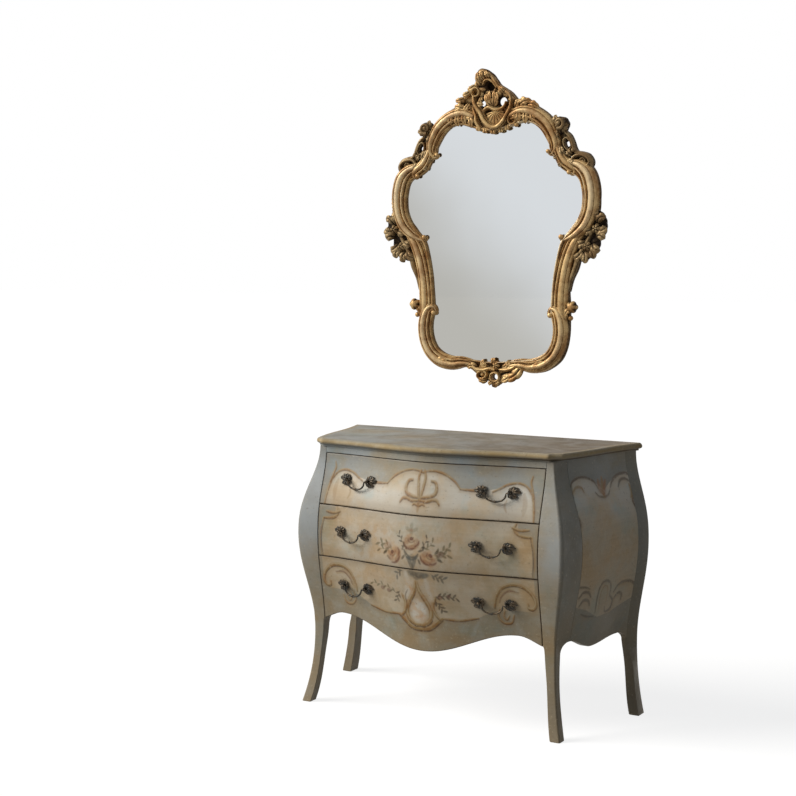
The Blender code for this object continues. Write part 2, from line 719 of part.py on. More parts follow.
def build_mirror_frame(carrier):
    """A moulding between sight edge and outer edge: lip, bead, hollow and broad ovolo, with a rebate behind."""
    rings = []
    for sight, outer in frame_loop():
        across = outer - sight
        rebate = REBATE_WIDTH / across.length
        lip = REBATE_DEPTH + SIGHT_LIP
        section = (
            (0.0, REBATE_DEPTH), (0.0, lip), (0.14, mix(lip, FRAME_DEPTH, 0.30)),
            (0.24, mix(lip, FRAME_DEPTH, 0.15)), (0.50, mix(lip, FRAME_DEPTH, 0.85)), (0.75, FRAME_DEPTH),
            (0.92, mix(FRAME_EDGE_DEPTH, FRAME_DEPTH, 0.65)), (1.0, FRAME_EDGE_DEPTH), (1.0, 0.0),
            (rebate, 0.0), (rebate, REBATE_DEPTH),
        )
        ring = []
        for share, depth in section:
            point = sight + across * share
            ring.append((point.x, WALL_GAP - depth, MIRROR_FOOT_HEIGHT + point.y))
        rings.append(ring)
    mesh = loft_mesh("mirror_frame", rings, ring_is_closed_path=True)
    place("mirror_frame", mesh, finish("mirror_frame", GILT, 0.4, 0.8), carrier)


def build_mirror_ornaments(carrier):
    """Pierced carvings set against the frame's outer edge: the outline runs out, the seat runs back."""
    count = len(FRAME_STATIONS)
    loop_count = 2 * count - 2
    half_turn = loop_count // 2
    carvings = [
        ("mirror_crest", CREST_OUTLINE, CREST_HOLES, -4, 2),
        ("mirror_right_shoulder", SHOULDER_OUTLINE, SHOULDER_HOLES, 5, 11),
        ("mirror_right_spray", SPRAY_OUTLINE, SPRAY_HOLES, 14, 17),
        ("mirror_foot_ornament", FOOT_OUTLINE, FOOT_HOLES, half_turn - 2, half_turn + 2),
    ]
    for name, outline, holes, first, last in carvings[1:3]:
        mirrored = [(-x, z) for x, z in outline]
        mirrored_holes = [(-x, z, radius) for x, z, radius in holes]
        carvings.append((name.replace("right", "left"), mirrored[::-1], mirrored_holes, -last, -first))
    middle = WALL_GAP - ORNAMENT_STANDOFF - ORNAMENT_THICKNESS / 2
    for name, outline, holes, first, last in carvings:
        seat = outer_edge(first, last)
        outlines = [list(outline) + seat] + [circle(x, z, radius) for x, z, radius in holes]
        raised = [[(x, z + MIRROR_FOOT_HEIGHT) for x, z in one] for one in outlines]
        flat_piece(name, raised, ORNAMENT_THICKNESS, middle, finish(name, GILT, 0.45, 0.8), carrier)


def rebate_outline():
    """The glass and backboard fill the rebate, less a clearance."""
    points = []
    for sight, outer in frame_loop():
        reach = (outer - sight).normalized() * (REBATE_WIDTH - REBATE_CLEARANCE)
        point = sight + reach
        points.append((point.x, point.y + MIRROR_FOOT_HEIGHT))
    return points


def keyhole(x, z):
    """Hanging hole: a round entry with a narrow slot above it."""
    points = []
    start = math.pi / 2 + math.asin(KEYHOLE_SLOT / KEYHOLE_RADIUS)
    sweep = 2 * math.pi - 2 * math.asin(KEYHOLE_SLOT / KEYHOLE_RADIUS)
    for k in range(11):
        angle = start + sweep * k / 10
        points.append((x + KEYHOLE_RADIUS * math.cos(angle), z + KEYHOLE_RADIUS * math.sin(angle)))
    slot_top = z + KEYHOLE_RISE
    return points + [(x + KEYHOLE_SLOT, slot_top), (x - KEYHOLE_SLOT, slot_top)]


def build_mirror_inside(carrier):
    outline = rebate_outline()
    front = WALL_GAP - REBATE_DEPTH + SEAT
    glass_middle = front + GLASS_THICKNESS / 2
    glass = finish("mirror_glass", SILVERED, 0.02, 1.0)
    flat_piece("mirror_glass", [outline], GLASS_THICKNESS, glass_middle, glass, carrier)
    board_front = front + GLASS_THICKNESS + SEAT
    board_middle = board_front + BACKBOARD_THICKNESS / 2
    board = finish("mirror_backboard", RAW_WOOD, 0.8)
    flat_piece("mirror_backboard", [outline], BACKBOARD_THICKNESS, board_middle, board, carrier)
    plate_middle = board_front + BACKBOARD_THICKNESS + SEAT + HANGER_THICKNESS / 2
    z = MIRROR_FOOT_HEIGHT + FRAME_STATIONS[0][1] - HANGER_DROP
    half = HANGER_WIDTH / 2
    plate = [(-half, z), (half, z), (half, z + HANGER_HEIGHT), (-half, z + HANGER_HEIGHT)]
    hole = keyhole(0.0, z + HANGER_HEIGHT / 3)
    iron = finish("mirror_hanger_plate", IRON, 0.5, 0.9)
    flat_piece("mirror_hanger_plate", [plate, hole], HANGER_THICKNESS, plate_middle, iron, carrier)


def build_mirror():
    carrier = new_empty("mirror_lift", ROOT)
    build_mirror_frame(carrier)
    build_mirror_ornaments(carrier)
    build_mirror_inside(carrier)


clear_scene()
PARTS = new_collection("chest_of_drawers_with_mirror")
CUTTERS = new_collection("cutters")
ROOT = new_empty("chest_centre")
ROOT.location = (0, -DEPTH_CENTRE, 0)
build_top()
build_posts()
build_sides()
build_rails()
build_drawers()
build_mirror()
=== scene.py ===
"""Looks for a painted serpentine chest of three drawers and the carved gilt mirror that hangs above it.

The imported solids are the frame. Painted boards, pulls and carving are finer surfaces in the same places,
worked out from the same few sizes. Metres, +Z up, the chest faces -Y.
"""

import math

import bpy
import numpy as np
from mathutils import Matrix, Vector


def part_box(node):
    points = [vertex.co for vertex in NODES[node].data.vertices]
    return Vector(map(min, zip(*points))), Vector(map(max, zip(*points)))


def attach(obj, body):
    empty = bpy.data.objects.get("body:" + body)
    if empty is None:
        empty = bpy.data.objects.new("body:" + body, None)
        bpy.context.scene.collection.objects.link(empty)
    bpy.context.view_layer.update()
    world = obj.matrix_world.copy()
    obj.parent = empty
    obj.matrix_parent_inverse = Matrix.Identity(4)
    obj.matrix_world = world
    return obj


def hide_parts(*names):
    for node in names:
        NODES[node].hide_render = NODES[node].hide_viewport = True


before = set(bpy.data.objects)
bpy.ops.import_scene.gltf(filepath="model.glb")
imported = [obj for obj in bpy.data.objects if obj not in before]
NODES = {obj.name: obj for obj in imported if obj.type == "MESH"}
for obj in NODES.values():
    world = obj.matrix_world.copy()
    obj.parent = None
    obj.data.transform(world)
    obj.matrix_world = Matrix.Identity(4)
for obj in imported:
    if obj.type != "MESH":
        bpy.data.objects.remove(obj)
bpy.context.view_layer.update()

# Body of the chest, measured at the neck just under the top board
BACK_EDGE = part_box("top_board")[1].y
CHEST_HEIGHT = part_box("top_board")[1].z
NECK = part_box("top_board")[0].z
TOP_OVERHANG = 0.016
CORNER_HALF_WIDTH = 0.436
BACK_HALF_WIDTH = 0.54
BODY_DEPTH = 0.416
FRONT_BOW = 0.055
BOW_POWER = 0.9
SIDE_WAVE = 0.05

# Outward swell over the height
BELLY_HEIGHT = 0.58
BELLY_SWELL = 0.057
WAIST_HEIGHT = 0.25
WAIST_SWELL = 0.0145
FOOT_FLARE = 0.047
FLARE_POWER = 2.1
NECK_POWER = 1.2
BACK_SWELL_LOSS = 0.15

# Posts, legs and boards
FRONT_POST_DEPTH = 0.054
BACK_POST_WIDTH = 0.042
BACK_POST_DEPTH = 0.055
BACK_INSET = 0.004
FOOT_WIDTH = 0.035
ANKLE_WIDTH = 0.031
ANKLE_HEIGHT = 0.15
KNEE_WIDTH = 0.038
KNEE_HEIGHT = 0.294
KNEE_RISE = 0.04
BACK_LEG_STRETCH = 1.45
BACK_INNER_KNEE = 0.335
CORNER_ROUND = 0.006
BELLY_ROUND_SHARE = 0.15
SIDE_THICKNESS = 0.018
FRONT_THICKNESS = 0.022
DRAWER_HALF_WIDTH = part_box("upper_drawer_front")[1].x
POST_INNER_X = DRAWER_HALF_WIDTH + 0.002
SEAT = 0.0003

# Shaped lower edges
APRON_DROP_HEIGHT = 0.238
APRON_ARCH_HEIGHT = 0.318
APRON_ARCH_X = 0.325
APRON_END_HEIGHT = 0.286
APRON_POWER = 1.05
SIDE_DROP_HEIGHT = 0.268
SIDE_DROP_Y = BACK_EDGE - 0.257
SIDE_FRONT_ARCH_HEIGHT = 0.302
SIDE_FRONT_REACH = 0.109
SIDE_BACK_ARCH_HEIGHT = 0.284
SIDE_BACK_REACH = 0.148
SIDE_BACK_ROUND = 0.034
SIDE_BACK_TURN = 0.05

# Pulls
PULL_X = 0.2575
PULL_SPAN = 0.09
PULL_HEIGHTS = {"upper": 0.773, "middle": 0.602, "lower": 0.419}
PIVOT_STANDOFF = 0.02
BALL_RADIUS = 0.0056
BAIL_RADIUS = 0.0019
BAIL_DROP = 0.029
BAIL_SHOULDER = 0.009
BAIL_PIN_END = 0.0019
BAIL_FULLNESS = 0.8
PIN_SHARE = 0.95
PIN_HEAD_SHARE = 1.45
SWEEP_SHARE = 0.6
SWEEP_GAIN_DROP = 0.01
KNOP_RISE = 0.0019
KNOP_WIDTH = 0.0022
COLLAR_X = 0.0058
COLLAR_RISE = 0.0008
COLLAR_WIDTH = 0.0012
POST_NECK_RADIUS = 0.004

# Mirror
WALL_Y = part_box("mirror_frame")[1].y
MIRROR_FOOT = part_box("mirror_foot_ornament")[0].z
SIGHT_RELIEF = 0.026
REBATE_RELIEF = 0.019
REBATE_WIDTH = 0.01
RIM_RELIEF = 0.016
SIGHT_BEAD = 0.006
FRAME_RINGS = 406
FRAME_OVERLAP = 14

# Grids, edges and brush
SIDES = (("left", -1), ("right", 1))
GRID_STEP = 0.002
SIDE_GRID_HEIGHT = 0.6
EDGE_ROUND = 0.0015
EDGE_FULLNESS = 0.96
RUBBED_WIDTH = 0.006
SHADE_WIDTH = 0.0026
GLAZE_SHADE_WIDTH = 0.045
# Olive-brown darkening of faces that look sideways: painted shade
SIDE_SHADE = 0.3
FOOT_BEVEL = 0.002
FOOT_BEVEL_SHARE = 0.93
LEG_RINGS = 64
KNEE_RINGS = 26
STILE_RINGS = 150
KNEE_MARGIN = 0.003
SOFT_EDGE = 0.004
BRUSH_TAPER = 0.35
CARVING_BACK = 0.004
PLATE_BACK = 0.003
STRAP_FOOT = 0.01
STRAP_RINGS = 120

# Camera, found from the photograph's own lines
LENS_PIXELS = 1646.9
FRAME_PIXELS = 796.0
SENSOR_WIDTH = 36.0
EYE_RIGHT = 2.6001
EYE_FORWARD = 5.0268
EYE_HEIGHT = 1.5376
EYE_TURN = 30.623
EYE_TILT = 5.218

# Light: a soft lamp from the front left, and the sky that fills its shadows
SKY_LIGHT = (0.122, 0.13, 0.142)
WHITE = (1.0, 1.0, 1.0)
LAMP_COLOUR = (1.0, 0.97, 0.92)
LAMP_STRENGTH = 3.5
LAMP_SPREAD = 34.0
LAMP_TILT = 58.0
LAMP_TURN = -60.0
FLOOR_REACH = 40.0
FLOOR_GLOW = 0.82


def mix(a, b, share):
    """From a to b by a share of the way."""
    return a + (b - a) * share


def ease(t):
    """Half a cosine wave from 0 to 1."""
    return 0.5 - 0.5 * np.cos(np.pi * np.clip(t, 0, 1))


def bump_at(t, centre, width):
    """A smooth hill of height 1 about a centre."""
    return np.exp(-(((t - centre) / width) ** 2))


def swell(z):
    """Outward swell at a height: flared foot, narrow waist, full belly, nothing at the neck."""
    z = np.asarray(z, float)
    foot = mix(WAIST_SWELL, FOOT_FLARE, np.clip(1 - z / WAIST_HEIGHT, 0, 1) ** FLARE_POWER)
    belly = mix(WAIST_SWELL, BELLY_SWELL, ease((z - WAIST_HEIGHT) / (BELLY_HEIGHT - WAIST_HEIGHT)))
    rise = np.clip((z - BELLY_HEIGHT) / (NECK - BELLY_HEIGHT), 0, 1)
    neck = BELLY_SWELL * (1 - ease(rise ** NECK_POWER))
    return np.where(z < WAIST_HEIGHT, foot, np.where(z < BELLY_HEIGHT, belly, neck))


def plan_y(x):
    """The front at the neck: one serpentine wave with its crest on the centre line."""
    reach = np.clip(np.abs(x) / CORNER_HALF_WIDTH, 0, 1)
    return BACK_EDGE - BODY_DEPTH - FRONT_BOW * (1 - ease(reach ** BOW_POWER))


def front_y(x, z):
    """The front at any height: the plan at the neck moved out by the swell."""
    return plan_y(x) - swell(z)


def depth_share(y):
    """0 at the front corner, 1 at the back edge."""
    return np.clip((y - BACK_EDGE + BODY_DEPTH) / BODY_DEPTH, 0, 1)


def plan_x(y):
    """The side at the neck, widening to the back with a slight wave."""
    s = depth_share(y)
    return mix(CORNER_HALF_WIDTH, BACK_HALF_WIDTH, s + SIDE_WAVE * np.sin(2 * np.pi * s))


def side_x(y, z):
    """The side at any height: the swell loses a little towards the back."""
    return plan_x(y) + swell(z) * (1 - BACK_SWELL_LOSS * depth_share(y))


def quarter_round(t):
    """From 0 to 1 along a quarter of a circle, level at its start and upright at its end."""
    return 1 - np.sqrt(np.maximum(1 - t * t, 0))


def apron_z(x):
    """Lower edge of the bottom drawer: a drop at the middle, an arch, and a fall towards the leg."""
    reach = np.abs(x)
    inner = mix(APRON_DROP_HEIGHT, APRON_ARCH_HEIGHT, ease((reach / APRON_ARCH_X) ** APRON_POWER))
    fall = (reach - APRON_ARCH_X) / (CORNER_HALF_WIDTH - APRON_ARCH_X)
    return np.where(reach < APRON_ARCH_X, inner, mix(APRON_ARCH_HEIGHT, APRON_END_HEIGHT, ease(fall)))


def side_apron_z(y):
    """Lower edge of the sides: a drop between two arches, the back one turning down to its leg in a
    quarter-round."""
    front = mix(SIDE_DROP_HEIGHT, SIDE_FRONT_ARCH_HEIGHT, ease((SIDE_DROP_Y - y) / SIDE_FRONT_REACH))
    back = mix(SIDE_DROP_HEIGHT, SIDE_BACK_ARCH_HEIGHT, ease((y - SIDE_DROP_Y) / SIDE_BACK_REACH))
    post_front = BACK_EDGE - BACK_INSET - BACK_POST_DEPTH
    turn = np.clip(1 + (y - post_front) / SIDE_BACK_TURN, 0, 1)
    return np.where(y < SIDE_DROP_Y, front, back - SIDE_BACK_ROUND * quarter_round(turn))


def leg_width(z):
    """Side of the square leg: least at the ankle, widest at the knee."""
    low = mix(FOOT_WIDTH, ANKLE_WIDTH, ease(z / ANKLE_HEIGHT))
    high = mix(ANKLE_WIDTH, KNEE_WIDTH, ease((z - ANKLE_HEIGHT) / (KNEE_HEIGHT - ANKLE_HEIGHT)))
    return np.where(z < ANKLE_HEIGHT, low, high)


def knee_share(z, top):
    """How far a post has widened from its leg: a quarter-round that ends level at the given height."""
    return quarter_round(np.clip(1 + (z - top) / KNEE_RISE, 0, 1))


def angles(count):
    """Evenly spaced angles once round."""
    return np.linspace(0, 2 * np.pi, count, endpoint=False)


def spline(points, count):
    """Smooth curve through points, each stretch a cubic whose slopes join its neighbours, evenly spaced."""
    p = np.asarray(points, float)
    p = np.vstack([2 * p[:1] - p[1:2], p, 2 * p[-1:] - p[-2:-1]])
    t = np.linspace(0, len(p) - 3, 8 * count)
    k = np.minimum(t.astype(int), len(p) - 4)
    f = (t - k)[:, None]
    a, b, c, d = p[k], p[k + 1], p[k + 2], p[k + 3]
    square = (2 * a - 5 * b + 4 * c - d) * f ** 2
    cube = (3 * b - a - 3 * c + d) * f ** 3
    dense = 0.5 * (2 * b + (c - a) * f + square + cube)
    run = np.concatenate([[0], np.cumsum(np.linalg.norm(np.diff(dense[:, :2], axis=0), axis=1))])
    even = np.linspace(0, run[-1], count)
    return np.stack([np.interp(even, run, dense[:, j]) for j in range(p.shape[1])], -1)


def across(path):
    """Unit vectors square to a flat path, to its right hand."""
    run = np.gradient(path[:, :2], axis=0)
    run /= np.linalg.norm(run, axis=1, keepdims=True) + 1e-12
    return np.stack([run[:, 1], -run[:, 0]], -1)


def skin(rows, columns, wrap_rows=False, wrap_columns=False):
    """Corner numbers of the four-sided faces between neighbours on a grid of points."""
    a = np.arange(rows * columns).reshape(rows, columns)
    a = np.vstack([a, a[:1]]) if wrap_rows else a
    a = np.hstack([a, a[:, :1]]) if wrap_columns else a
    return np.stack([a[:-1, :-1], a[1:, :-1], a[1:, 1:], a[:-1, 1:]], -1).reshape(-1, 4)


def outward(points, quads, caps):
    """Turns every face round where the volume that they close comes out negative."""
    p = points - points.mean(0)
    a, b, c, d = (p[quads[:, k]] for k in range(4))
    volume = np.einsum("ij,ij->", a, np.cross(b, c)) + np.einsum("ij,ij->", a, np.cross(c, d))
    for cap in caps:
        q = p[cap]
        volume += np.einsum("j,ij->", q[0], np.cross(q[1:-1], q[2:]))
    if volume < 0:
        return quads[:, ::-1], [cap[::-1] for cap in caps]
    return quads, caps


class Piece:
    """Closed surfaces gathered into one visible piece, with the values that its finish reads at each
    point."""

    def __init__(self, lay=None):
        self.lay = lay
        self.points, self.quads, self.caps, self.values = [], [], [], []
        self.count = 0

    def add(self, points, quads, caps=(), **values):
        """One closed surface, its faces turned outward, with a value of each kind at each point."""
        points = np.asarray(points, float).reshape(-1, 3)
        if self.lay:
            points = self.lay(points)
        quads, caps = outward(points, np.asarray(quads), [np.asarray(cap) for cap in caps])
        self.points.append(points)
        self.quads.append(quads + self.count)
        self.caps += [cap + self.count for cap in caps]
        self.values.append({k: np.asarray(v, float) for k, v in values.items()})
        self.count += len(points)

    def tube(self, rings, **values):
        """Skin round a row of closed rings, with a cap on each end."""
        rows, columns = rings.shape[:2]
        first = np.arange(columns)
        caps = [first, first + (rows - 1) * columns]
        flat = {k: np.broadcast_to(v, (rows, columns)).reshape(-1) for k, v in values.items()}
        self.add(rings, skin(rows, columns, wrap_columns=True), caps, **flat)

    def make(self, name, material, body, nodes, sharp=40):
        """One mesh of all that was added, riding on its body in place of the solids that it redraws."""
        points = np.vstack(self.points)
        quads = np.vstack(self.quads)
        corners = np.concatenate([quads.ravel(), *self.caps]).astype(np.int32)
        sizes = np.array([4] * len(quads) + [len(cap) for cap in self.caps], np.int32)
        mesh = bpy.data.meshes.new(name)
        mesh.vertices.add(len(points))
        mesh.vertices.foreach_set("co", points.astype(np.float32).ravel())
        mesh.loops.add(len(corners))
        mesh.loops.foreach_set("vertex_index", corners)
        mesh.polygons.add(len(sizes))
        mesh.polygons.foreach_set("loop_start", np.cumsum(sizes, dtype=np.int32) - sizes)
        mesh.update(calc_edges=True)
        for key in sorted({k for v in self.values for k in v}):
            wide = any(v[key].ndim == 2 for v in self.values if key in v)
            attribute = mesh.attributes.new(key, "FLOAT_COLOR" if wide else "FLOAT", "POINT")
            data = [v.get(key, np.zeros(len(p))) for v, p in zip(self.values, self.points)]
            flat = np.concatenate(data).astype(np.float32).ravel()
            attribute.data.foreach_set("color" if wide else "value", flat)
        mesh.shade_smooth()
        mesh.set_sharp_from_angle(angle=math.radians(sharp))
        mesh.materials.append(material)
        piece = bpy.data.objects.new(name, mesh)
        bpy.context.scene.collection.objects.link(piece)
        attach(piece, body)
        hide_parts(*nodes)
        return piece


class Mixture:
    """Nodes being joined: each method adds what it names and gives its output."""

    def __init__(self, tree):
        self.tree = tree

    def put(self, socket, value):
        """Joins an output to a socket, or sets the socket's own value."""
        if isinstance(value, bpy.types.NodeSocket):
            self.tree.links.new(value, socket)
        else:
            socket.default_value = (*value, 1.0) if socket.type == "RGBA" and len(value) == 3 else value

    def node(self, kind, inputs, **settings):
        """A new node with its settings made and its sockets put."""
        node = self.tree.nodes.new(kind)
        for key, value in settings.items():
            setattr(node, key, value)
        for key, value in inputs.items():
            self.put(node.inputs[key], value)
        return node

    def combine(self, a, b, operation="ADD"):
        return self.node("ShaderNodeMath", {0: a, 1: b}, operation=operation).outputs[0]

    def blend(self, share, a, b, kind="MIX"):
        node = self.node("ShaderNodeMix", {0: share, 6: a, 7: b}, data_type="RGBA", blend_type=kind)
        return node.outputs[2]

    def grey(self, share, low, high):
        return self.blend(share, (low, low, low), (high, high, high))

    def tint(self, share, colour, by):
        """The colour multiplied by another over a share of the surface."""
        return self.blend(share, colour, self.blend(1.0, colour, by, "MULTIPLY"))


class Finish(Mixture):
    """A material being mixed, from places on the object and the values that a piece carries."""

    def __init__(self, name):
        self.material = bpy.data.materials.new(name)
        self.material.use_nodes = True
        super().__init__(self.material.node_tree)
        self.shader = self.tree.nodes["Principled BSDF"]
        self.place = self.tree.nodes.new("ShaderNodeTexCoord").outputs["Object"]

    def noise(self, scale, detail=3.0, roughness=0.55, stretch=(1, 1, 1), distortion=0.0, shift=0.0):
        """Cloudy values about a half, drawn out by stretch and moved by shift."""
        inputs = {"Vector": self.place, "Scale": stretch, "Location": (shift, shift, shift)}
        place = self.node("ShaderNodeMapping", inputs).outputs[0]
        inputs = {"Vector": place, "Scale": scale, "Detail": detail, "Roughness": roughness,
                  "Distortion": distortion}
        return self.node("ShaderNodeTexNoise", inputs).outputs["Fac"]

    def value(self, name, output="Fac"):
        """What the piece carries under a name."""
        return self.node("ShaderNodeAttribute", {}, attribute_name=name).outputs[output]

    def along(self, axis):
        """Distance from the origin along one axis."""
        return self.node("ShaderNodeSeparateXYZ", {"Vector": self.place}).outputs[axis]

    def span(self, value, low, high, to_low=0.0, to_high=1.0):
        """A value eased from one range to another."""
        inputs = {"Value": value, "From Min": low, "From Max": high, "To Min": to_low, "To Max": to_high}
        return self.node("ShaderNodeMapRange", inputs, interpolation_type="SMOOTHSTEP").outputs["Result"]

    def bump(self, height, strength, distance=0.001, under=None):
        inputs = {"Height": height, "Strength": strength, "Distance": distance}
        if under:
            inputs["Normal"] = under
        return self.node("ShaderNodeBump", inputs).outputs["Normal"]

    def done(self, **sockets):
        """Puts the shader's sockets, their names written with underscores, and gives the material."""
        for key, value in sockets.items():
            self.put(self.shader.inputs[key.replace("_", " ")], value)
        return self.material


# Paints, as the light part of the surface shows them
BLUE_GREY = (0.335, 0.36, 0.36)
SAGE_GREY = (0.355, 0.325, 0.255)
OLIVE_GREY = (0.3, 0.245, 0.16)
CREAM = (0.52, 0.44, 0.32)
WARM_CREAM = (0.43, 0.335, 0.212)
PALE_CREAM = (0.64, 0.605, 0.53)
# Pale blue of the painted highlight on the posts' bellies and the top's left end
PALE_BLUE = (0.42, 0.455, 0.47)
GILT_OCHRE = (0.4, 0.275, 0.11)
UNDERCOAT = (0.145, 0.1, 0.058)
OCHRE = (0.3, 0.188, 0.07)
BROWN_LINE = (0.075, 0.043, 0.019)
HIGHLIGHT = (0.6, 0.51, 0.35)
ROSE = (0.31, 0.165, 0.085)
ROSE_DARK = (0.13, 0.055, 0.034)
ROSE_LIGHT = (0.53, 0.37, 0.235)
LEAF = (0.135, 0.12, 0.062)
LEAF_DARK = (0.048, 0.042, 0.027)
SLATE = (0.1, 0.102, 0.086)
# Dark teal of the painted shade on the sides and the right-hand legs
SHADE_TEAL = (0.07, 0.079, 0.066)
WARMTH = (1.0, 0.88, 0.73)
CHILL = (0.85, 0.96, 1.03)
STROKE_WARMTH = (0.92, 0.74, 0.58)

# Wood, metals and glass
WOOD_DARK = (0.24, 0.15, 0.075)
WOOD_PALE = (0.44, 0.31, 0.18)
WOOD_PORE = (0.15, 0.09, 0.045)
GOLD_LOST = (0.18, 0.088, 0.034)
# Pale gold of the painted highlights on the carving
GOLD_HIGHLIGHT = (0.85, 0.7, 0.46)
CARVED_WOOD_DARK = (0.13, 0.08, 0.042)
CARVED_WOOD_PALE = (0.22, 0.145, 0.08)
BRONZE_DARK = (0.034, 0.033, 0.029)
BRONZE_BROWN = (0.074, 0.052, 0.031)
BRONZE_BRIGHT = (0.22, 0.17, 0.11)
BRONZE_HOLLOW = (0.018, 0.015, 0.011)
SILVER_FOOT = (0.46, 0.455, 0.425)
SILVER_TOP = (0.675, 0.705, 0.73)
SILVER_LOST = (0.35, 0.33, 0.3)
IRON = (0.16, 0.155, 0.15)
RUST = (0.19, 0.1, 0.05)


def distressed_paint(name, shine=0.25):
    """Ground and reserve colours clouded by noise, a pale blue painted highlight, olive-brown glazing that
    is partly painted shade, a dark teal painted shade, painted strokes over them, then rubbed edges, dirt,
    specks and brown painted shade."""
    f = Finish(name)
    cloud = f.noise(3.2, 4.0, 0.6)
    patch = f.noise(11.0, 5.0, 0.65, distortion=0.6)
    fine = f.noise(90.0, 4.0, 0.6)
    brush = f.noise(6.0, 3.0, 0.6, stretch=(1.0, 1.0, 26.0))
    level = f.span(f.along("Z"), 0.25, 0.86)
    cool = f.blend(f.span(cloud, 0.35, 0.65), SAGE_GREY, BLUE_GREY)
    ground = f.blend(level, f.blend(f.span(patch, 0.4, 0.65), OLIVE_GREY, SAGE_GREY), cool)
    beige = f.blend(f.span(patch, 0.38, 0.68), WARM_CREAM, CREAM)
    pale = f.blend(f.span(cloud, 0.3, 0.55), CREAM, PALE_CREAM)
    reserve = f.blend(f.span(f.along("Z"), 0.6, 0.78), beige, pale)
    ragged = f.combine(f.value("reserve"), f.combine(f.combine(fine, 0.5, "SUBTRACT"), 0.35, "MULTIPLY"))
    colour = f.blend(f.span(ragged, 0.25, 0.75), ground, reserve)
    colour = f.blend(0.26, colour, f.grey(brush, 0.28, 0.72), "OVERLAY")
    colour = f.blend(0.18, colour, f.grey(fine, 0.3, 0.7), "OVERLAY")
    warm = f.span(f.noise(7.0, 4.0, 0.6, shift=3.1), 0.44, 0.66)
    colour = f.tint(warm, colour, WARMTH)
    chill = f.span(f.noise(8.0, 4.0, 0.6, shift=7.7), 0.5, 0.7)
    colour = f.tint(chill, colour, CHILL)
    # Pale blue painted highlight over the posts' bellies and the top's left end, where the light falls
    colour = f.blend(f.combine(f.value("cool"), f.span(cloud, 0.3, 0.6), "MULTIPLY"), colour, PALE_BLUE)
    # Olive-brown darkening: glazing on the legs and towards board edges, and painted shade on the sides,
    # the right-hand legs and the top's right end
    glaze = f.combine(f.value("glaze"), f.span(cloud, 0.3, 0.7, 0.45, 1.0), "MULTIPLY")
    colour = f.blend(glaze, colour, f.blend(patch, OLIVE_GREY, UNDERCOAT))
    # Dark teal painted shade on the sides and the right-hand legs
    colour = f.blend(f.value("dusk"), colour, SHADE_TEAL)
    worn = f.combine(f.value("cover"), f.span(fine, 0.28, 0.55, 0.72, 1.0), "MULTIPLY")
    warm = f.span(f.noise(26.0, 3.0, 0.6, shift=5.3), 0.42, 0.62)
    colour = f.blend(worn, colour, f.tint(warm, f.value("strokes", "Color"), STROKE_WARMTH))
    gilded = f.combine(f.value("gilded"), f.span(patch, 0.25, 0.6, 0.55, 1.0), "MULTIPLY")
    colour = f.blend(gilded, colour, f.blend(f.span(patch, 0.4, 0.75), GILT_OCHRE, HIGHLIGHT))
    rubbed = f.combine(f.value("rubbed"), f.span(patch, 0.4, 0.7), "MULTIPLY")
    colour = f.blend(rubbed, colour, f.blend(fine, UNDERCOAT, OLIVE_GREY))
    grime = f.span(f.noise(34.0, 6.0, 0.7), 0.6, 0.8, 0.0, 0.3)
    colour = f.blend(grime, colour, UNDERCOAT)
    specks = f.noise(120.0, 3.0, 0.6, shift=1.7)
    colour = f.blend(f.span(specks, 0.62, 0.74, 0.0, 0.45), colour, UNDERCOAT)
    colour = f.blend(f.span(specks, 0.4, 0.28, 0.0, 0.35), colour, HIGHLIGHT)
    # Brown painted shade: in the gaps along the drawer fronts' edges, in the top's cove and over its right
    # end
    colour = f.blend(f.value("shade"), colour, BROWN_LINE)
    grain = f.bump(brush, 0.1, 0.0008)
    crackle = f.bump(fine, 0.12, 0.0006, grain)
    rough = f.span(patch, 0.3, 0.7, 0.42, 0.6)
    return f.done(Base_Color=colour, Roughness=rough, Normal=crackle, Specular_IOR_Level=shine)


def bare_wood(name, stretch):
    """Straight grain drawn out along one axis, with darker streaks and pores."""
    f = Finish(name)
    streak = f.noise(9.0, 5.0, 0.6, stretch=stretch, distortion=0.4)
    pore = f.noise(60.0, 3.0, 0.6, stretch=stretch)
    colour = f.blend(f.span(streak, 0.35, 0.68), WOOD_DARK, WOOD_PALE)
    colour = f.blend(f.span(pore, 0.55, 0.75, 0.0, 0.5), colour, WOOD_PORE)
    rough = f.span(streak, 0.3, 0.7, 0.6, 0.78)
    return f.done(Base_Color=colour, Roughness=rough, Normal=f.bump(pore, 0.2))


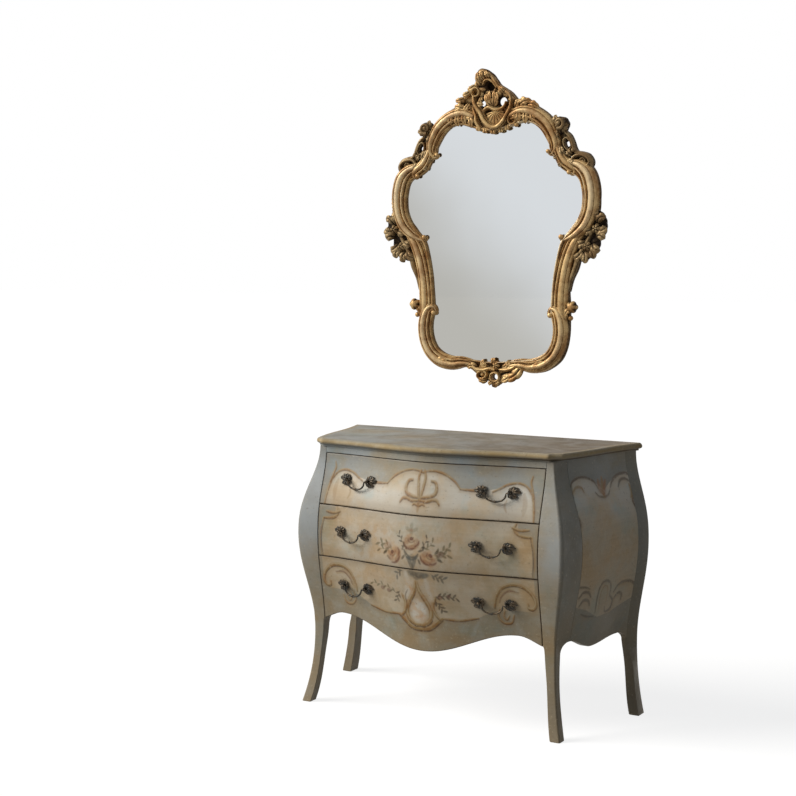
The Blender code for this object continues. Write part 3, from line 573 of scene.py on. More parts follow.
def antique_gilding(name, shaded, lit, wash_and_shade):
    """Gold leaf over a red-brown ground: bright on the high parts with a pale painted highlight where the
    piece carries one, dark toning in the hollows that is partly patina and partly painted shade, small
    losses, and bare wood behind."""
    f = Finish(name)
    cloud = f.noise(24.0, 4.0, 0.65)
    fine = f.noise(140.0, 4.0, 0.65)
    gold = f.blend(f.span(cloud, 0.35, 0.68), shaded, lit)
    gold = f.blend(f.span(fine, 0.52, 0.74, 0.0, 0.45), gold, GOLD_LOST)
    # Pale gold painted highlight along the reeds and sight edges turned to the light
    worn = f.combine(f.value("pale"), f.span(cloud, 0.25, 0.6, 0.5, 1.0), "MULTIPLY")
    gold = f.blend(worn, gold, GOLD_HIGHLIGHT)
    # Dark in the hollows, recesses and undersides: patina and painted shade
    deep = f.combine(f.value("hollow"), f.combine(f.combine(fine, 0.5, "SUBTRACT"), 0.5, "MULTIPLY"))
    dark = f.span(deep, 0.15, 0.85)
    colour = f.blend(dark, gold, wash_and_shade)
    behind = f.span(f.along("Y"), WALL_Y - 0.0065, WALL_Y - 0.0035)
    colour = f.blend(behind, colour, f.blend(fine, CARVED_WOOD_DARK, CARVED_WOOD_PALE))
    metal = f.span(f.combine(dark, behind, "MAXIMUM"), 0.0, 1.0, 0.3, 0.02)
    rough = f.span(f.combine(fine, f.combine(dark, 0.4, "MULTIPLY")), 0.3, 1.0, 0.3, 0.8)
    return f.done(Base_Color=colour, Metallic=metal, Roughness=rough, Specular_IOR_Level=0.12,
                  Normal=f.bump(fine, 0.16, 0.0006))


def rubbed_bronze(name):
    """Dark bronze with brown and green-black patches, small bright specks that are partly rubbed metal and
    partly painted glints, and dark patina and painted shade in the hollows.
    """
    f = Finish(name)
    cloud = f.noise(70.0, 4.0, 0.6)
    fine = f.noise(420.0, 3.0, 0.6)
    colour = f.blend(f.span(cloud, 0.4, 0.65), BRONZE_DARK, BRONZE_BROWN)
    colour = f.blend(f.span(fine, 0.56, 0.8), colour, BRONZE_BRIGHT)
    # Dark patina and painted shade in the hollows
    colour = f.blend(f.span(f.value("hollow"), 0.1, 0.8), colour, BRONZE_HOLLOW)
    return f.done(Base_Color=colour, Metallic=0.85, Roughness=f.span(fine, 0.3, 0.7, 0.34, 0.55),
                  Normal=f.bump(fine, 0.15, 0.0004))


def silvered_glass(name):
    """Old silvering with a painted reflection that rises from its left foot to light at its top through
    soft grey clouding, and specks of lost silver."""
    f = Finish(name)
    cloud = f.noise(2.2, 3.0, 0.5)
    specks = f.noise(160.0, 3.0, 0.6)
    # Painted reflection: darker at the left foot, lighter towards the top
    slant = f.combine(f.along("Z"), f.combine(f.along("X"), 0.9, "MULTIPLY"))
    rise = f.span(f.combine(slant, f.combine(cloud, 0.3, "MULTIPLY")), 1.3, 2.0)
    colour = f.blend(rise, SILVER_FOOT, SILVER_TOP)
    colour = f.blend(f.span(specks, 0.74, 0.8, 0.0, 0.25), colour, SILVER_LOST)
    return f.done(Base_Color=colour, Metallic=1.0, Roughness=f.span(specks, 0.3, 0.8, 0.015, 0.04))


def hanger_iron(name):
    """Rolled plate with brown rust blooms."""
    f = Finish(name)
    bloom = f.noise(90.0, 5.0, 0.65)
    colour = f.blend(f.span(bloom, 0.45, 0.7), IRON, RUST)
    return f.done(Base_Color=colour, Metallic=0.8, Roughness=f.span(bloom, 0.3, 0.7, 0.42, 0.7),
                  Normal=f.bump(bloom, 0.2, 0.0005))


PAINT = distressed_paint("distressed_paint")
TOP_PAINT = distressed_paint("waxed_top_paint", 0.05)
GILDING = antique_gilding("antique_gilding", shaded=(0.345, 0.172, 0.056),
                          lit=(0.69, 0.475, 0.215), wash_and_shade=(0.034, 0.017, 0.007))
# A darker copy of the gilding: painted shade over the deep-cut shoulders and sprays
SHADED_GILDING = antique_gilding("shaded_gilding", shaded=(0.18, 0.11, 0.047),
                               lit=(0.4, 0.285, 0.142), wash_and_shade=(0.02, 0.012, 0.007))
BRONZE = rubbed_bronze("rubbed_bronze")
WOOD_ACROSS = bare_wood("bare_wood_grain_across", (0.12, 2.0, 2.0))
WOOD_DEEP = bare_wood("bare_wood_grain_deep", (2.0, 0.12, 2.0))
WOOD_UP = bare_wood("bare_wood_grain_upright", (2.0, 2.0, 0.12))


# A blossom of size 1: dabs as place, half sizes, tilt, colour, strength; lines as path, width, strength
BLOSSOM_DABS = (
    (0.0, 0.0, 0.86, 0.74, 0.0, ROSE_LIGHT, 0.6), (-0.45, 0.2, 0.42, 0.34, 0.8, ROSE, 0.5),
    (0.5, 0.05, 0.4, 0.36, -0.6, ROSE, 0.45), (0.05, -0.42, 0.62, 0.26, 0.1, ROSE, 0.6),
    (-0.25, 0.62, 0.34, 0.2, 0.5, ROSE_LIGHT, 0.55), (0.3, 0.5, 0.3, 0.22, -0.5, HIGHLIGHT, 0.4),
    (-0.05, -0.05, 0.32, 0.2, 0.2, HIGHLIGHT, 0.55), (0.02, 0.36, 0.24, 0.2, 0.0, ROSE_DARK, 0.85),
)
BLOSSOM_LINES = (
    (((-0.82, -0.22), (-0.58, -0.48), (-0.15, -0.6), (0.3, -0.52)), 0.24, 0.75),
    (((0.28, -0.38), (0.62, -0.22), (0.8, 0.1)), 0.2, 0.7),
    (((-0.34, 0.42), (-0.3, 0.14), (0.02, 0.02), (0.34, 0.16)), 0.15, 0.6),
)


def flipped(points):
    """The same points on the other half of a face."""
    return [(-a, b) for a, b in points]


class PaintedFace:
    """Colour and cover of a painter's strokes at the points (a, b) of one face, laid one over another."""

    def __init__(self, a, b):
        self.shape = a.shape
        self.spots = np.stack([a.ravel(), b.ravel()], -1)
        self.colour = np.zeros((a.size, 3))
        self.cover = np.zeros(a.size)
        self.reserve = np.zeros(a.size)

    def lay(self, chosen, mask, colour):
        """Covers by the mask: the new colour over what is left of the old."""
        under = self.cover[chosen] * (1 - mask)
        total = mask + under
        old = self.colour[chosen] * under[:, None] + np.asarray(colour) * mask[:, None]
        self.colour[chosen] = old / np.maximum(total, 1e-6)[:, None]
        self.cover[chosen] = total

    def distance(self, path, reach):
        """The spots near a path, how far each lies from it, and how far along it, from 0 to 1."""
        low = path.min(0) - reach
        high = path.max(0) + reach
        chosen = np.flatnonzero(((self.spots > low) & (self.spots < high)).all(1))
        start, run = path[:-1], np.diff(path, axis=0)
        offset = self.spots[chosen][:, None] - start[None]
        share = np.clip((offset * run).sum(-1) / ((run ** 2).sum(-1) + 1e-12), 0, 1)
        gap = np.linalg.norm(offset - share[..., None] * run, axis=-1)
        best = gap.argmin(1)
        row = np.arange(len(chosen))
        return chosen, gap[row, best], (best + share[row, best]) / len(run)

    def stroke(self, points, width, colour, strength=0.85, soft=0.0022):
        """A brush line: full along the middle, tapered towards both ends, soft at its edges."""
        path = spline(points, 10 * len(points)) if len(points) > 2 else np.asarray(points, float)
        chosen, gap, along = self.distance(path, width + soft)
        full = np.sin(np.pi * np.clip(along, 0.02, 0.98)) ** 0.5
        half = 0.5 * width * mix(BRUSH_TAPER, 1, full)
        self.lay(chosen, strength * ease((half + soft - gap) / (2 * soft)), colour)

    def dab(self, centre, size, turn, colour, strength=0.8):
        """One touch of the brush: an ellipse, thinned towards its edge."""
        offset = self.spots - np.asarray(centre)
        near = np.flatnonzero(np.abs(offset).max(1) < 1.6 * max(size))
        c, s = math.cos(turn), math.sin(turn)
        u = (offset[near] @ (c, s)) / size[0]
        v = (offset[near] @ (-s, c)) / size[1]
        self.lay(near, strength * ease(1.5 * (1.25 - np.hypot(u, v))), colour)

    def scroll(self, points, width=0.0068):
        """A painted moulding: ochre band, a brown line under it, a light touch in it and a soft shade."""
        p = np.asarray(points, float)
        self.stroke(p + (0.002, -0.007), 2.2 * width, OCHRE, 0.3, soft=0.008)
        self.stroke(p + (0.0012, -0.42 * width), 0.95 * width, BROWN_LINE, 0.85)
        self.stroke(p, 1.0 * width, OCHRE, 0.8)
        self.stroke(p + (-0.001, 0.25 * width), 0.4 * width, HIGHLIGHT, 0.45)

    def both(self, draw, points, *rest):
        """The same line on both halves of the face."""
        draw(points, *rest)
        draw(flipped(points), *rest)

    def blossom(self, centre, size, turn):
        """A loose full-blown flower: a soft round, brown crescents below, pale petals, a dark heart."""
        c, s = math.cos(turn), math.sin(turn)

        def at(a, b):
            return (centre[0] + size * (c * a - s * b), centre[1] + size * (s * a + c * b))

        for a, b, wide, high, tilt, colour, strength in BLOSSOM_DABS:
            self.dab(at(a, b), (wide * size, high * size), turn + tilt, colour, strength)
        for arc, width, strength in BLOSSOM_LINES:
            self.stroke([at(a, b) for a, b in arc], width * size, ROSE_DARK, strength, soft=0.0026)

    def sprig(self, points, leaves, size, colour):
        """A thin stem with leaf dabs to both sides of it by turns."""
        path = spline(points, 24)
        self.stroke(points, 0.0016, colour, 0.7)
        for k in range(leaves):
            spot = path[int(mix(3, 23, k / max(leaves - 1, 1)))]
            side = 1 if k % 2 else -1
            turn = math.atan2(*(path[-1] - path[0])[::-1]) + side * 0.8
            tip = (spot[0] + 0.8 * size * math.cos(turn), spot[1] + 0.8 * size * math.sin(turn))
            self.dab(tip, (size, 0.42 * size), turn, colour, 0.75)

    def light_pools(self, *rows):
        """Soft pale dabs of painted light, as place, half sizes and strength."""
        for a, b, wide, high, strength in rows:
            self.dab((a, b), (wide, high), 0.0, PALE_CREAM, strength)

    def fill(self, inside):
        """Adds to the pale reserve that the painting stands on."""
        self.reserve = np.maximum(self.reserve, inside)

    def values(self):
        """What the paint reads at each point."""
        strokes = np.concatenate([self.colour, np.ones((len(self.cover), 1))], 1)
        return {"strokes": strokes, "cover": self.cover, "reserve": self.reserve}


def under(face, edge):
    """1 under a line across the face, 0 over it: the line's right half is given from the middle
    outwards."""
    line = np.array(flipped(edge[:0:-1]) + edge)
    a, b = face.spots.T
    return ease(0.5 + (np.interp(a, line[:, 0], line[:, 1]) - b) / (2 * SOFT_EDGE))


def between(value, low, high):
    """1 between two limits, 0 outside them, soft over each."""
    return ease(0.5 + (value - low) / (2 * SOFT_EDGE)) * ease(0.5 + (high - value) / (2 * SOFT_EDGE))


def paint_upper_front(face):
    """A reserve under a scrolled line that arches over each pull and twice at the middle, with strapwork
    there."""
    arch = [(0.0, 0.82), (0.02, 0.826), (0.046, 0.827), (0.08, 0.818), (0.112, 0.799), (0.134, 0.777)]
    run = [(0.134, 0.776), (0.165, 0.774), (0.215, 0.774)]
    over_pull = [(0.24, 0.772), (0.262, 0.783), (0.288, 0.797), (0.32, 0.803),
                 (0.348, 0.795), (0.366, 0.776)]
    end = [(0.358, 0.788), (0.372, 0.766), (0.381, 0.735), (0.386, 0.7), (0.386, 0.687)]
    edge = arch + run[1:] + over_pull[1:] + [(0.38, 0.745), (0.388, 0.684)]
    face.fill(under(face, edge) * between(face.spots[:, 0], -0.387, 0.387))
    for part in (arch, run, over_pull, end):
        face.both(face.scroll, part)
    face.both(face.scroll, [(0.366, 0.826), (0.362, 0.808), (0.368, 0.788), (0.378, 0.76)], 0.006)
    face.both(face.stroke, [(0.345, 0.77), (0.352, 0.738), (0.35, 0.706)], 0.016, OCHRE, 0.3)
    face.both(face.stroke, [(0.29, 0.748), (0.286, 0.73), (0.294, 0.712)], 0.007, OCHRE, 0.45)
    for points, width in (
        ([(0.006, 0.828), (0.012, 0.806), (0.009, 0.776), (0.005, 0.75), (0.002, 0.722)], 0.009),
        ([(0.034, 0.796), (0.048, 0.792), (0.056, 0.776), (0.053, 0.757), (0.036, 0.747), (0.008, 0.742)],
         0.0105),
        ([(0.072, 0.724), (0.062, 0.736), (0.046, 0.737), (0.026, 0.731), (0.004, 0.733)], 0.009),
        ([(0.002, 0.716), (0.014, 0.722), (0.022, 0.718)], 0.007),
    ):
        face.both(face.scroll, points, width)
    face.dab((0.0, 0.706), (0.005, 0.014), 0.0, OCHRE, 0.45)


def paint_middle_front(face):
    """A reserve with bracketed corners, and a bunch of roses at the middle."""
    x, z = face.spots.T
    wide = between(np.abs(x), -1.0, 0.39) * between(z, 0.4, 0.642)
    narrow = between(np.abs(x), -1.0, 0.338) * between(z, 0.64, 0.7)
    face.fill(wide + narrow)
    # Painted light: the reserve paler at its left and middle, as light falls off to the right
    face.light_pools((-0.2, 0.575, 0.17, 0.07, 0.34), (-0.02, 0.62, 0.18, 0.06, 0.26),
                (0.1, 0.56, 0.13, 0.06, 0.16), (-0.02, 0.53, 0.1, 0.04, 0.2))
    bracket = [(0.332, 0.683), (0.325, 0.664), (0.34, 0.648), (0.362, 0.643), (0.385, 0.642)]
    face.both(face.scroll, bracket, 0.0085)
    face.both(face.scroll, [(0.318, 0.668), (0.345, 0.661), (0.376, 0.664)], 0.0075)
    face.both(face.stroke, [(0.381, 0.642), (0.39, 0.6), (0.393, 0.56), (0.388, 0.512)],
              0.0045, BROWN_LINE, 0.75)
    face.both(face.stroke, [(0.385, 0.642), (0.395, 0.6), (0.398, 0.56), (0.393, 0.512)], 0.004, OCHRE, 0.7)
    for a, b, turn in ((-0.015, 0.65, 1.5), (-0.028, 0.64, 2.6), (-0.002, 0.64, 0.5), (-0.015, 0.628, 1.6)):
        face.dab((a, b), (0.013, 0.007), turn, LEAF, 0.38)
    face.dab((-0.015, 0.638), (0.007, 0.006), 0.0, ROSE, 0.45)
    for points, leaves, size in (
        ([(-0.03, 0.568), (-0.048, 0.596), (-0.062, 0.622)], 7, 0.0078),
        ([(-0.085, 0.56), (-0.112, 0.582), (-0.142, 0.584)], 6, 0.011),
        ([(-0.095, 0.555), (-0.12, 0.566), (-0.14, 0.564)], 4, 0.009),
        ([(0.06, 0.56), (0.088, 0.576), (0.118, 0.592)], 6, 0.0105),
        ([(0.07, 0.552), (0.096, 0.568), (0.112, 0.566)], 5, 0.011),
        ([(0.02, 0.58), (0.036, 0.6), (0.042, 0.616)], 4, 0.0078),
        ([(0.03, 0.58), (0.052, 0.592), (0.062, 0.606)], 4, 0.009),
    ):
        face.sprig(points, leaves, size, LEAF_DARK if size < 0.008 else LEAF)
    for a, b, turn in (
        (-0.046, 0.58, 1.2), (-0.04, 0.59, 2.2), (0.02, 0.574, 0.4), (0.03, 0.584, 1.4),
        (0.076, 0.574, 0.8), (-0.104, 0.54, 2.4), (-0.118, 0.556, 0.6), (0.086, 0.546, 2.8),
        (-0.046, 0.548, 0.9), (0.014, 0.538, 2.0),
    ):
        face.dab((a, b), (0.011, 0.0045), turn, LEAF_DARK, 0.7)
    face.dab((-0.106, 0.58), (0.018, 0.012), 0.5, ROSE, 0.45)
    face.dab((0.088, 0.566), (0.014, 0.011), 0.5, ROSE_DARK, 0.55)
    for centre, size, turn in (((-0.013, 0.598), 0.035, 0.1), ((-0.08, 0.552), 0.034, 0.9),
                               ((0.048, 0.55), 0.035, -0.5)):
        face.blossom(centre, size, turn)
    face.stroke([(-0.042, 0.572), (-0.03, 0.552), (-0.014, 0.546), (0.004, 0.552), (0.01, 0.562)],
                0.012, SLATE, 0.75)
    face.stroke([(-0.034, 0.56), (-0.02, 0.532), (-0.012, 0.51)], 0.015, SLATE, 0.7)
    face.stroke([(0.004, 0.556), (-0.006, 0.532), (-0.012, 0.51)], 0.013, SLATE, 0.7)
    face.dab((-0.014, 0.549), (0.018, 0.012), 0.0, SLATE, 0.65)
    face.stroke([(-0.03, 0.566), (-0.014, 0.556), (0.002, 0.564)], 0.004, HIGHLIGHT, 0.5)


def paint_lower_front(face):
    """Scrolled arches over the pulls, a drop-shaped cartouche at the middle, sprigs between, apron left
    plain."""
    swoosh = [(0.0, 0.312), (0.032, 0.319), (0.058, 0.338), (0.078, 0.353), (0.137, 0.353), (0.2, 0.366)]
    edge = swoosh + [(0.25, 0.392), (0.3, 0.4), (0.385, 0.402), (0.396, 0.41), (0.42, 0.412)]
    face.fill((1 - under(face, edge)) * between(face.spots[:, 0], -0.394, 0.394))
    # Painted light: the reserve paler to the left and at the middle
    face.light_pools((-0.16, 0.46, 0.16, 0.045, 0.18), (0.13, 0.455, 0.12, 0.045, 0.12),
                (0.02, 0.44, 0.06, 0.06, 0.18))
    arch = [(0.256, 0.408), (0.262, 0.44), (0.282, 0.472), (0.315, 0.487), (0.352, 0.484), (0.382, 0.462),
            (0.394, 0.432), (0.384, 0.412), (0.368, 0.414), (0.368, 0.428)]
    face.both(face.scroll, arch, 0.0105)
    face.both(face.stroke, [(0.336, 0.458), (0.3, 0.466), (0.276, 0.446), (0.266, 0.416)],
              0.016, OCHRE, 0.35)
    face.both(face.stroke, [(0.34, 0.462), (0.306, 0.464), (0.282, 0.444), (0.274, 0.424)],
              0.006, ROSE_DARK, 0.6)
    face.both(face.scroll, [(0.272, 0.402), (0.266, 0.378), (0.282, 0.358), (0.308, 0.36), (0.318, 0.386)],
              0.0065)
    face.both(face.scroll, [(0.288, 0.398), (0.284, 0.38), (0.293, 0.369), (0.303, 0.384)], 0.005)
    face.both(face.scroll, swoosh[2:], 0.007)
    face.both(face.scroll, swoosh[:4], 0.015)
    face.dab((-0.003, 0.374), (0.034, 0.04), 0.0, PALE_CREAM, 0.9)
    face.dab((0.008, 0.35), (0.018, 0.012), 0.6, ROSE_LIGHT, 0.45)
    for side in (-1, 1):
        drop = [(0.002, 0.472), (0.01, 0.44), (0.03, 0.408), (0.044, 0.378),
                (0.04, 0.346), (0.018, 0.328), (0.0, 0.326)]
        face.scroll([(side * a - 0.003, b) for a, b in drop], 0.0145)
        curl = [(0.062, 0.424), (0.05, 0.394), (0.058, 0.366), (0.072, 0.35)]
        face.scroll([(side * a, b) for a, b in curl], 0.01)
    face.stroke([(-0.04, 0.498), (-0.034, 0.455), (-0.046, 0.412)], 0.022, PALE_CREAM, 0.45, soft=0.006)
    face.stroke([(0.032, 0.48), (0.04, 0.445), (0.052, 0.41)], 0.014, PALE_CREAM, 0.35, soft=0.006)
    face.stroke([(-0.028, 0.452), (-0.022, 0.436), (-0.03, 0.42)], 0.01, ROSE_LIGHT, 0.6)
    face.stroke([(-0.038, 0.44), (-0.048, 0.42), (-0.046, 0.396)], 0.005, BROWN_LINE, 0.6)
    for x, z, wide, high, turn in ((0.008, 0.494, 0.038, 0.011, 0.05), (-0.014, 0.499, 0.022, 0.01, -0.3),
                                   (0.026, 0.491, 0.022, 0.009, 0.3), (0.0, 0.484, 0.012, 0.008, 0.0)):
        face.dab((x, z), (wide, high), turn, SLATE, 0.62)
    for points, leaves, size, colour in (
        ([(-0.052, 0.504), (-0.066, 0.496), (-0.074, 0.486)], 4, 0.01, SLATE),
        ([(0.052, 0.5), (0.07, 0.492), (0.094, 0.487)], 6, 0.0105, SLATE),
        ([(-0.08, 0.42), (-0.12, 0.44), (-0.18, 0.446)], 8, 0.0085, LEAF),
        ([(-0.07, 0.432), (-0.078, 0.414), (-0.084, 0.4)], 5, 0.0085, LEAF_DARK),
        ([(0.056, 0.424), (0.09, 0.43), (0.132, 0.426)], 9, 0.0095, LEAF_DARK),
        ([(0.06, 0.412), (0.075, 0.396), (0.084, 0.38)], 6, 0.0095, LEAF_DARK),
    ):
        face.sprig(points, leaves, size, colour)
    for x, z in ((-0.115, 0.428), (-0.14, 0.434), (0.078, 0.424), (0.108, 0.43)):
        face.dab((x, z), (0.009, 0.008), 0.0, ROSE_DARK, 0.6)


def paint_side(face):
    """A tall reserve with scrolled ends, outlined in dark brown: arches at the top, oval and curls at the
    foot."""
    u, z = face.spots.T
    left = np.interp(z, (0.36, 0.44, 0.49, 0.645, 0.7, 0.8, 0.82), (-0.37,
                                                                    -0.392,
                                                                    -0.398, -0.396, -0.368, -0.355, -0.33))
    right = np.interp(z, (0.36, 0.44, 0.51, 0.6, 0.66, 0.72, 0.81), (-0.06,
                                                                     -0.044,
                                                                     -0.046, -0.036, -0.055, -0.068, -0.05))
    top = np.interp(u, (-0.36, -0.32, -0.28, -0.235, -0.2, -0.165, -0.12, -0.07, -0.035),
                    (0.8, 0.815, 0.812, 0.79, 0.765, 0.785, 0.803, 0.806, 0.795))
    foot = np.interp(u, (-0.39, -0.31, -0.24, -0.17, -0.1, -0.04), (0.42, 0.395, 0.36, 0.365, 0.385, 0.4))
    face.fill(between(u, left, right) * between(z, foot, top))
    for points, width, colour in (
        ([(-0.366, 0.79), (-0.348, 0.808), (-0.315, 0.816), (-0.28, 0.812), (-0.245, 0.796),
          (-0.228, 0.768)], 0.007, BROWN_LINE),
        ([(-0.362, 0.772), (-0.34, 0.788), (-0.316, 0.785), (-0.308, 0.77)], 0.007, OCHRE),
        ([(-0.252, 0.764), (-0.236, 0.75), (-0.21, 0.745), (-0.184, 0.75), (-0.168, 0.764)],
         0.006, BROWN_LINE),
        ([(-0.222, 0.8), (-0.222, 0.776), (-0.211, 0.752)], 0.012, ROSE),
        ([(-0.2, 0.806), (-0.204, 0.78), (-0.209, 0.752)], 0.012, OCHRE),
        ([(-0.182, 0.796), (-0.196, 0.774), (-0.206, 0.752)], 0.01, ROSE),
        ([(-0.164, 0.77), (-0.146, 0.788), (-0.112, 0.804), (-0.076, 0.807), (-0.044, 0.797)],
         0.008, BROWN_LINE),
        ([(-0.12, 0.768), (-0.104, 0.786), (-0.08, 0.79), (-0.056, 0.778)], 0.008, LEAF_DARK),
        ([(-0.05, 0.79), (-0.044, 0.76), (-0.054, 0.735), (-0.066, 0.714), (-0.05, 0.692), (-0.03, 0.684)],
         0.006, BROWN_LINE),
        ([(-0.064, 0.77), (-0.06, 0.745), (-0.07, 0.728)], 0.01, OCHRE),
        ([(-0.058, 0.672), (-0.05, 0.652), (-0.036, 0.628), (-0.034, 0.585), (-0.044, 0.51),
          (-0.046, 0.455)], 0.004, LEAF_DARK),
        ([(-0.372, 0.752), (-0.384, 0.732), (-0.388, 0.712), (-0.372, 0.704)], 0.008, LEAF_DARK),
        ([(-0.366, 0.706), (-0.36, 0.686), (-0.366, 0.662), (-0.394, 0.645)], 0.006, LEAF_DARK),
        ([(-0.395, 0.645), (-0.398, 0.57), (-0.398, 0.492)], 0.0035, LEAF_DARK),
        ([(-0.392, 0.428), (-0.392, 0.452), (-0.374, 0.473), (-0.34, 0.474), (-0.308, 0.464)],
         0.006, LEAF_DARK),
        ([(-0.356, 0.44), (-0.338, 0.456), (-0.312, 0.452), (-0.296, 0.436)], 0.008, LEAF_DARK),
        ([(-0.348, 0.412), (-0.33, 0.43), (-0.306, 0.424), (-0.296, 0.408)], 0.008, LEAF_DARK),
        ([(-0.33, 0.384), (-0.3, 0.372), (-0.262, 0.366)], 0.006, LEAF_DARK),
        ([(-0.256, 0.378), (-0.258, 0.44), (-0.244, 0.472), (-0.214, 0.476), (-0.19, 0.458),
          (-0.186, 0.42)], 0.007, LEAF_DARK),
        ([(-0.186, 0.424), (-0.164, 0.402), (-0.172, 0.376), (-0.198, 0.372), (-0.206, 0.388)],
         0.008, LEAF_DARK),
        ([(-0.24, 0.385), (-0.242, 0.44), (-0.224, 0.462), (-0.204, 0.448), (-0.202, 0.4)], 0.004, OCHRE),
        ([(-0.166, 0.432), (-0.14, 0.454), (-0.1, 0.458), (-0.066, 0.448), (-0.044, 0.424),
          (-0.038, 0.398)], 0.008, LEAF_DARK),
        ([(-0.158, 0.41), (-0.138, 0.424), (-0.118, 0.416), (-0.116, 0.398)], 0.008, LEAF_DARK),
    ):
        face.stroke([(a + 0.002, b - 0.005) for a, b in points], 2.4 * width, OCHRE, 0.25, soft=0.008)
        face.stroke(points, 1.25 * width, colour, 0.7, soft=0.003)
    face.dab((-0.22, 0.42), (0.016, 0.04), 0.0, OCHRE, 0.25)


def margin(u, v, low_u, high_u, low_v, high_v):
    """Distance of each point to the nearest edge of its board."""
    return np.minimum(np.minimum(u - low_u, high_u - u), np.minimum(v - low_v, high_v - v))


def with_fine_edges(low, high, step):
    """Even steps from low to high, with close ones over the rounded edges."""
    edge = EDGE_ROUND * np.array([0.0, 0.25, 0.6, 1.0])
    inner = np.linspace(low + EDGE_ROUND, high - EDGE_ROUND, int((high - low) / step))
    return np.concatenate([low + edge[:-1], inner, high - edge[:-1][::-1]])


def roll_back(gap):
    """How far a rounded edge falls back: a quarter circle over the edge's width."""
    reach = np.clip(1 - gap / EDGE_ROUND, 0, 1)
    return EDGE_ROUND * (1 - np.sqrt(1 - EDGE_FULLNESS * reach ** 2))


def board(piece, face_points, back_points, **values):
    """A face grid closed behind: its borders run straight back, and the back is one strip from top to
    foot."""
    rows, columns = face_points.shape[:2]
    grid = np.arange(rows * columns).reshape(rows, columns)
    foot = rows * columns + np.arange(columns)
    top = foot + columns
    points = np.vstack([face_points.reshape(-1, 3), back_points[0], back_points[1]])
    strips = [np.stack([grid[0, :-1], grid[0, 1:], foot[1:], foot[:-1]], -1),
              np.stack([foot[:-1], foot[1:], top[1:], top[:-1]], -1),
              np.stack([top[:-1], top[1:], grid[-1, 1:], grid[-1, :-1]], -1)]
    ends = [np.concatenate([grid[:, k], [top[k], foot[k]]])[::turn] for k, turn in ((0, -1), (-1, 1))]
    quads = np.vstack([skin(rows, columns)[:, ::-1]] + strips)
    full = {k: np.concatenate([v, np.zeros((2 * columns, *v.shape[1:]))]) for k, v in values.items()}
    piece.add(points, quads, ends, **full)


def build_drawer_fronts():
    """Dense grids over the swelled fronts, x across and z up, with rounded edges and the painter's
    strokes."""
    painters = {"upper": paint_upper_front, "middle": paint_middle_front, "lower": paint_lower_front}
    for label, paint in painters.items():
        node = f"{label}_drawer_front"
        low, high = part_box(node)
        x = with_fine_edges(low.x, high.x, GRID_STEP)[None, :]
        foot = apron_z(x) if label == "lower" else np.full_like(x, low.z)
        share = np.linspace(0, 1, int((high.z - low.z) / GRID_STEP))[:, None]
        z = mix(foot, high.z, share)
        x = np.broadcast_to(x, z.shape)
        gap = margin(x, z, low.x, high.x, foot, high.z)
        y = front_y(x, z) + roll_back(gap)
        face = PaintedFace(x, z)
        paint(face)
        inside = plan_y(x[0]) + FRONT_THICKNESS
        back = [np.stack([x[0], inside, z[row]], -1) for row in (0, -1)]
        # Along each board's edges: rubbed wear, brown painted shade in the gaps, and olive-brown darkening
        # that is glazing and painted shade
        rubbed = 0.9 * (1 - ease(gap / RUBBED_WIDTH)).ravel()
        shade = 0.75 * (1 - ease(gap / SHADE_WIDTH)).ravel()
        glaze = 0.42 * (1 - ease(gap / GLAZE_SHADE_WIDTH)).ravel()
        piece = Piece()
        board(piece, np.stack([x, y, z], -1), back, rubbed=rubbed, shade=shade, glaze=glaze,
              **face.values())
        piece.make(f"{label}_drawer_painted_front", PAINT, f"{label}_drawer", [node])


def build_side_panels():
    """Dense grids over the bent sides, y along and z up, the same painting on both."""
    near = BACK_EDGE - BODY_DEPTH + FRONT_POST_DEPTH + SEAT
    far = BACK_EDGE - BACK_INSET - BACK_POST_DEPTH - SEAT
    y = np.linspace(near, far, int((far - near) / GRID_STEP))[None, :]
    share = np.linspace(0, 1, int(SIDE_GRID_HEIGHT / GRID_STEP))[:, None]
    z = mix(side_apron_z(y), NECK - SEAT, share)
    y = np.broadcast_to(y, z.shape)
    face = PaintedFace(y - BACK_EDGE, z)
    paint_side(face)
    rubbed = 0.9 * (1 - ease((z - side_apron_z(y)) / 0.008)).ravel()
    # Darker towards the lower edge and the neck; over the ground, olive-brown and dark teal painted shade,
    # as on a side turned from the light
    glaze = 0.25 * (1 - ease((z - side_apron_z(y)) / 0.08)) + 0.2 * ease((z - 0.8) / 0.07)
    glaze = glaze.ravel() + SIDE_SHADE * (1 - 0.8 * face.reserve)
    dusk = 0.24 * (1 - face.reserve)
    for side, sign in SIDES:
        outer = np.stack([sign * side_x(y, z), y, z], -1)
        edges = [np.stack([sign * (side_x(y[k], z[k]) - SIDE_THICKNESS), y[k], z[k]], -1) for k in (0, -1)]
        piece = Piece()
        board(piece, outer, edges, rubbed=rubbed, glaze=glaze, dusk=dusk, **face.values())
        piece.make(f"{side}_painted_side", PAINT, "carcass", [f"{side}_side_panel"])


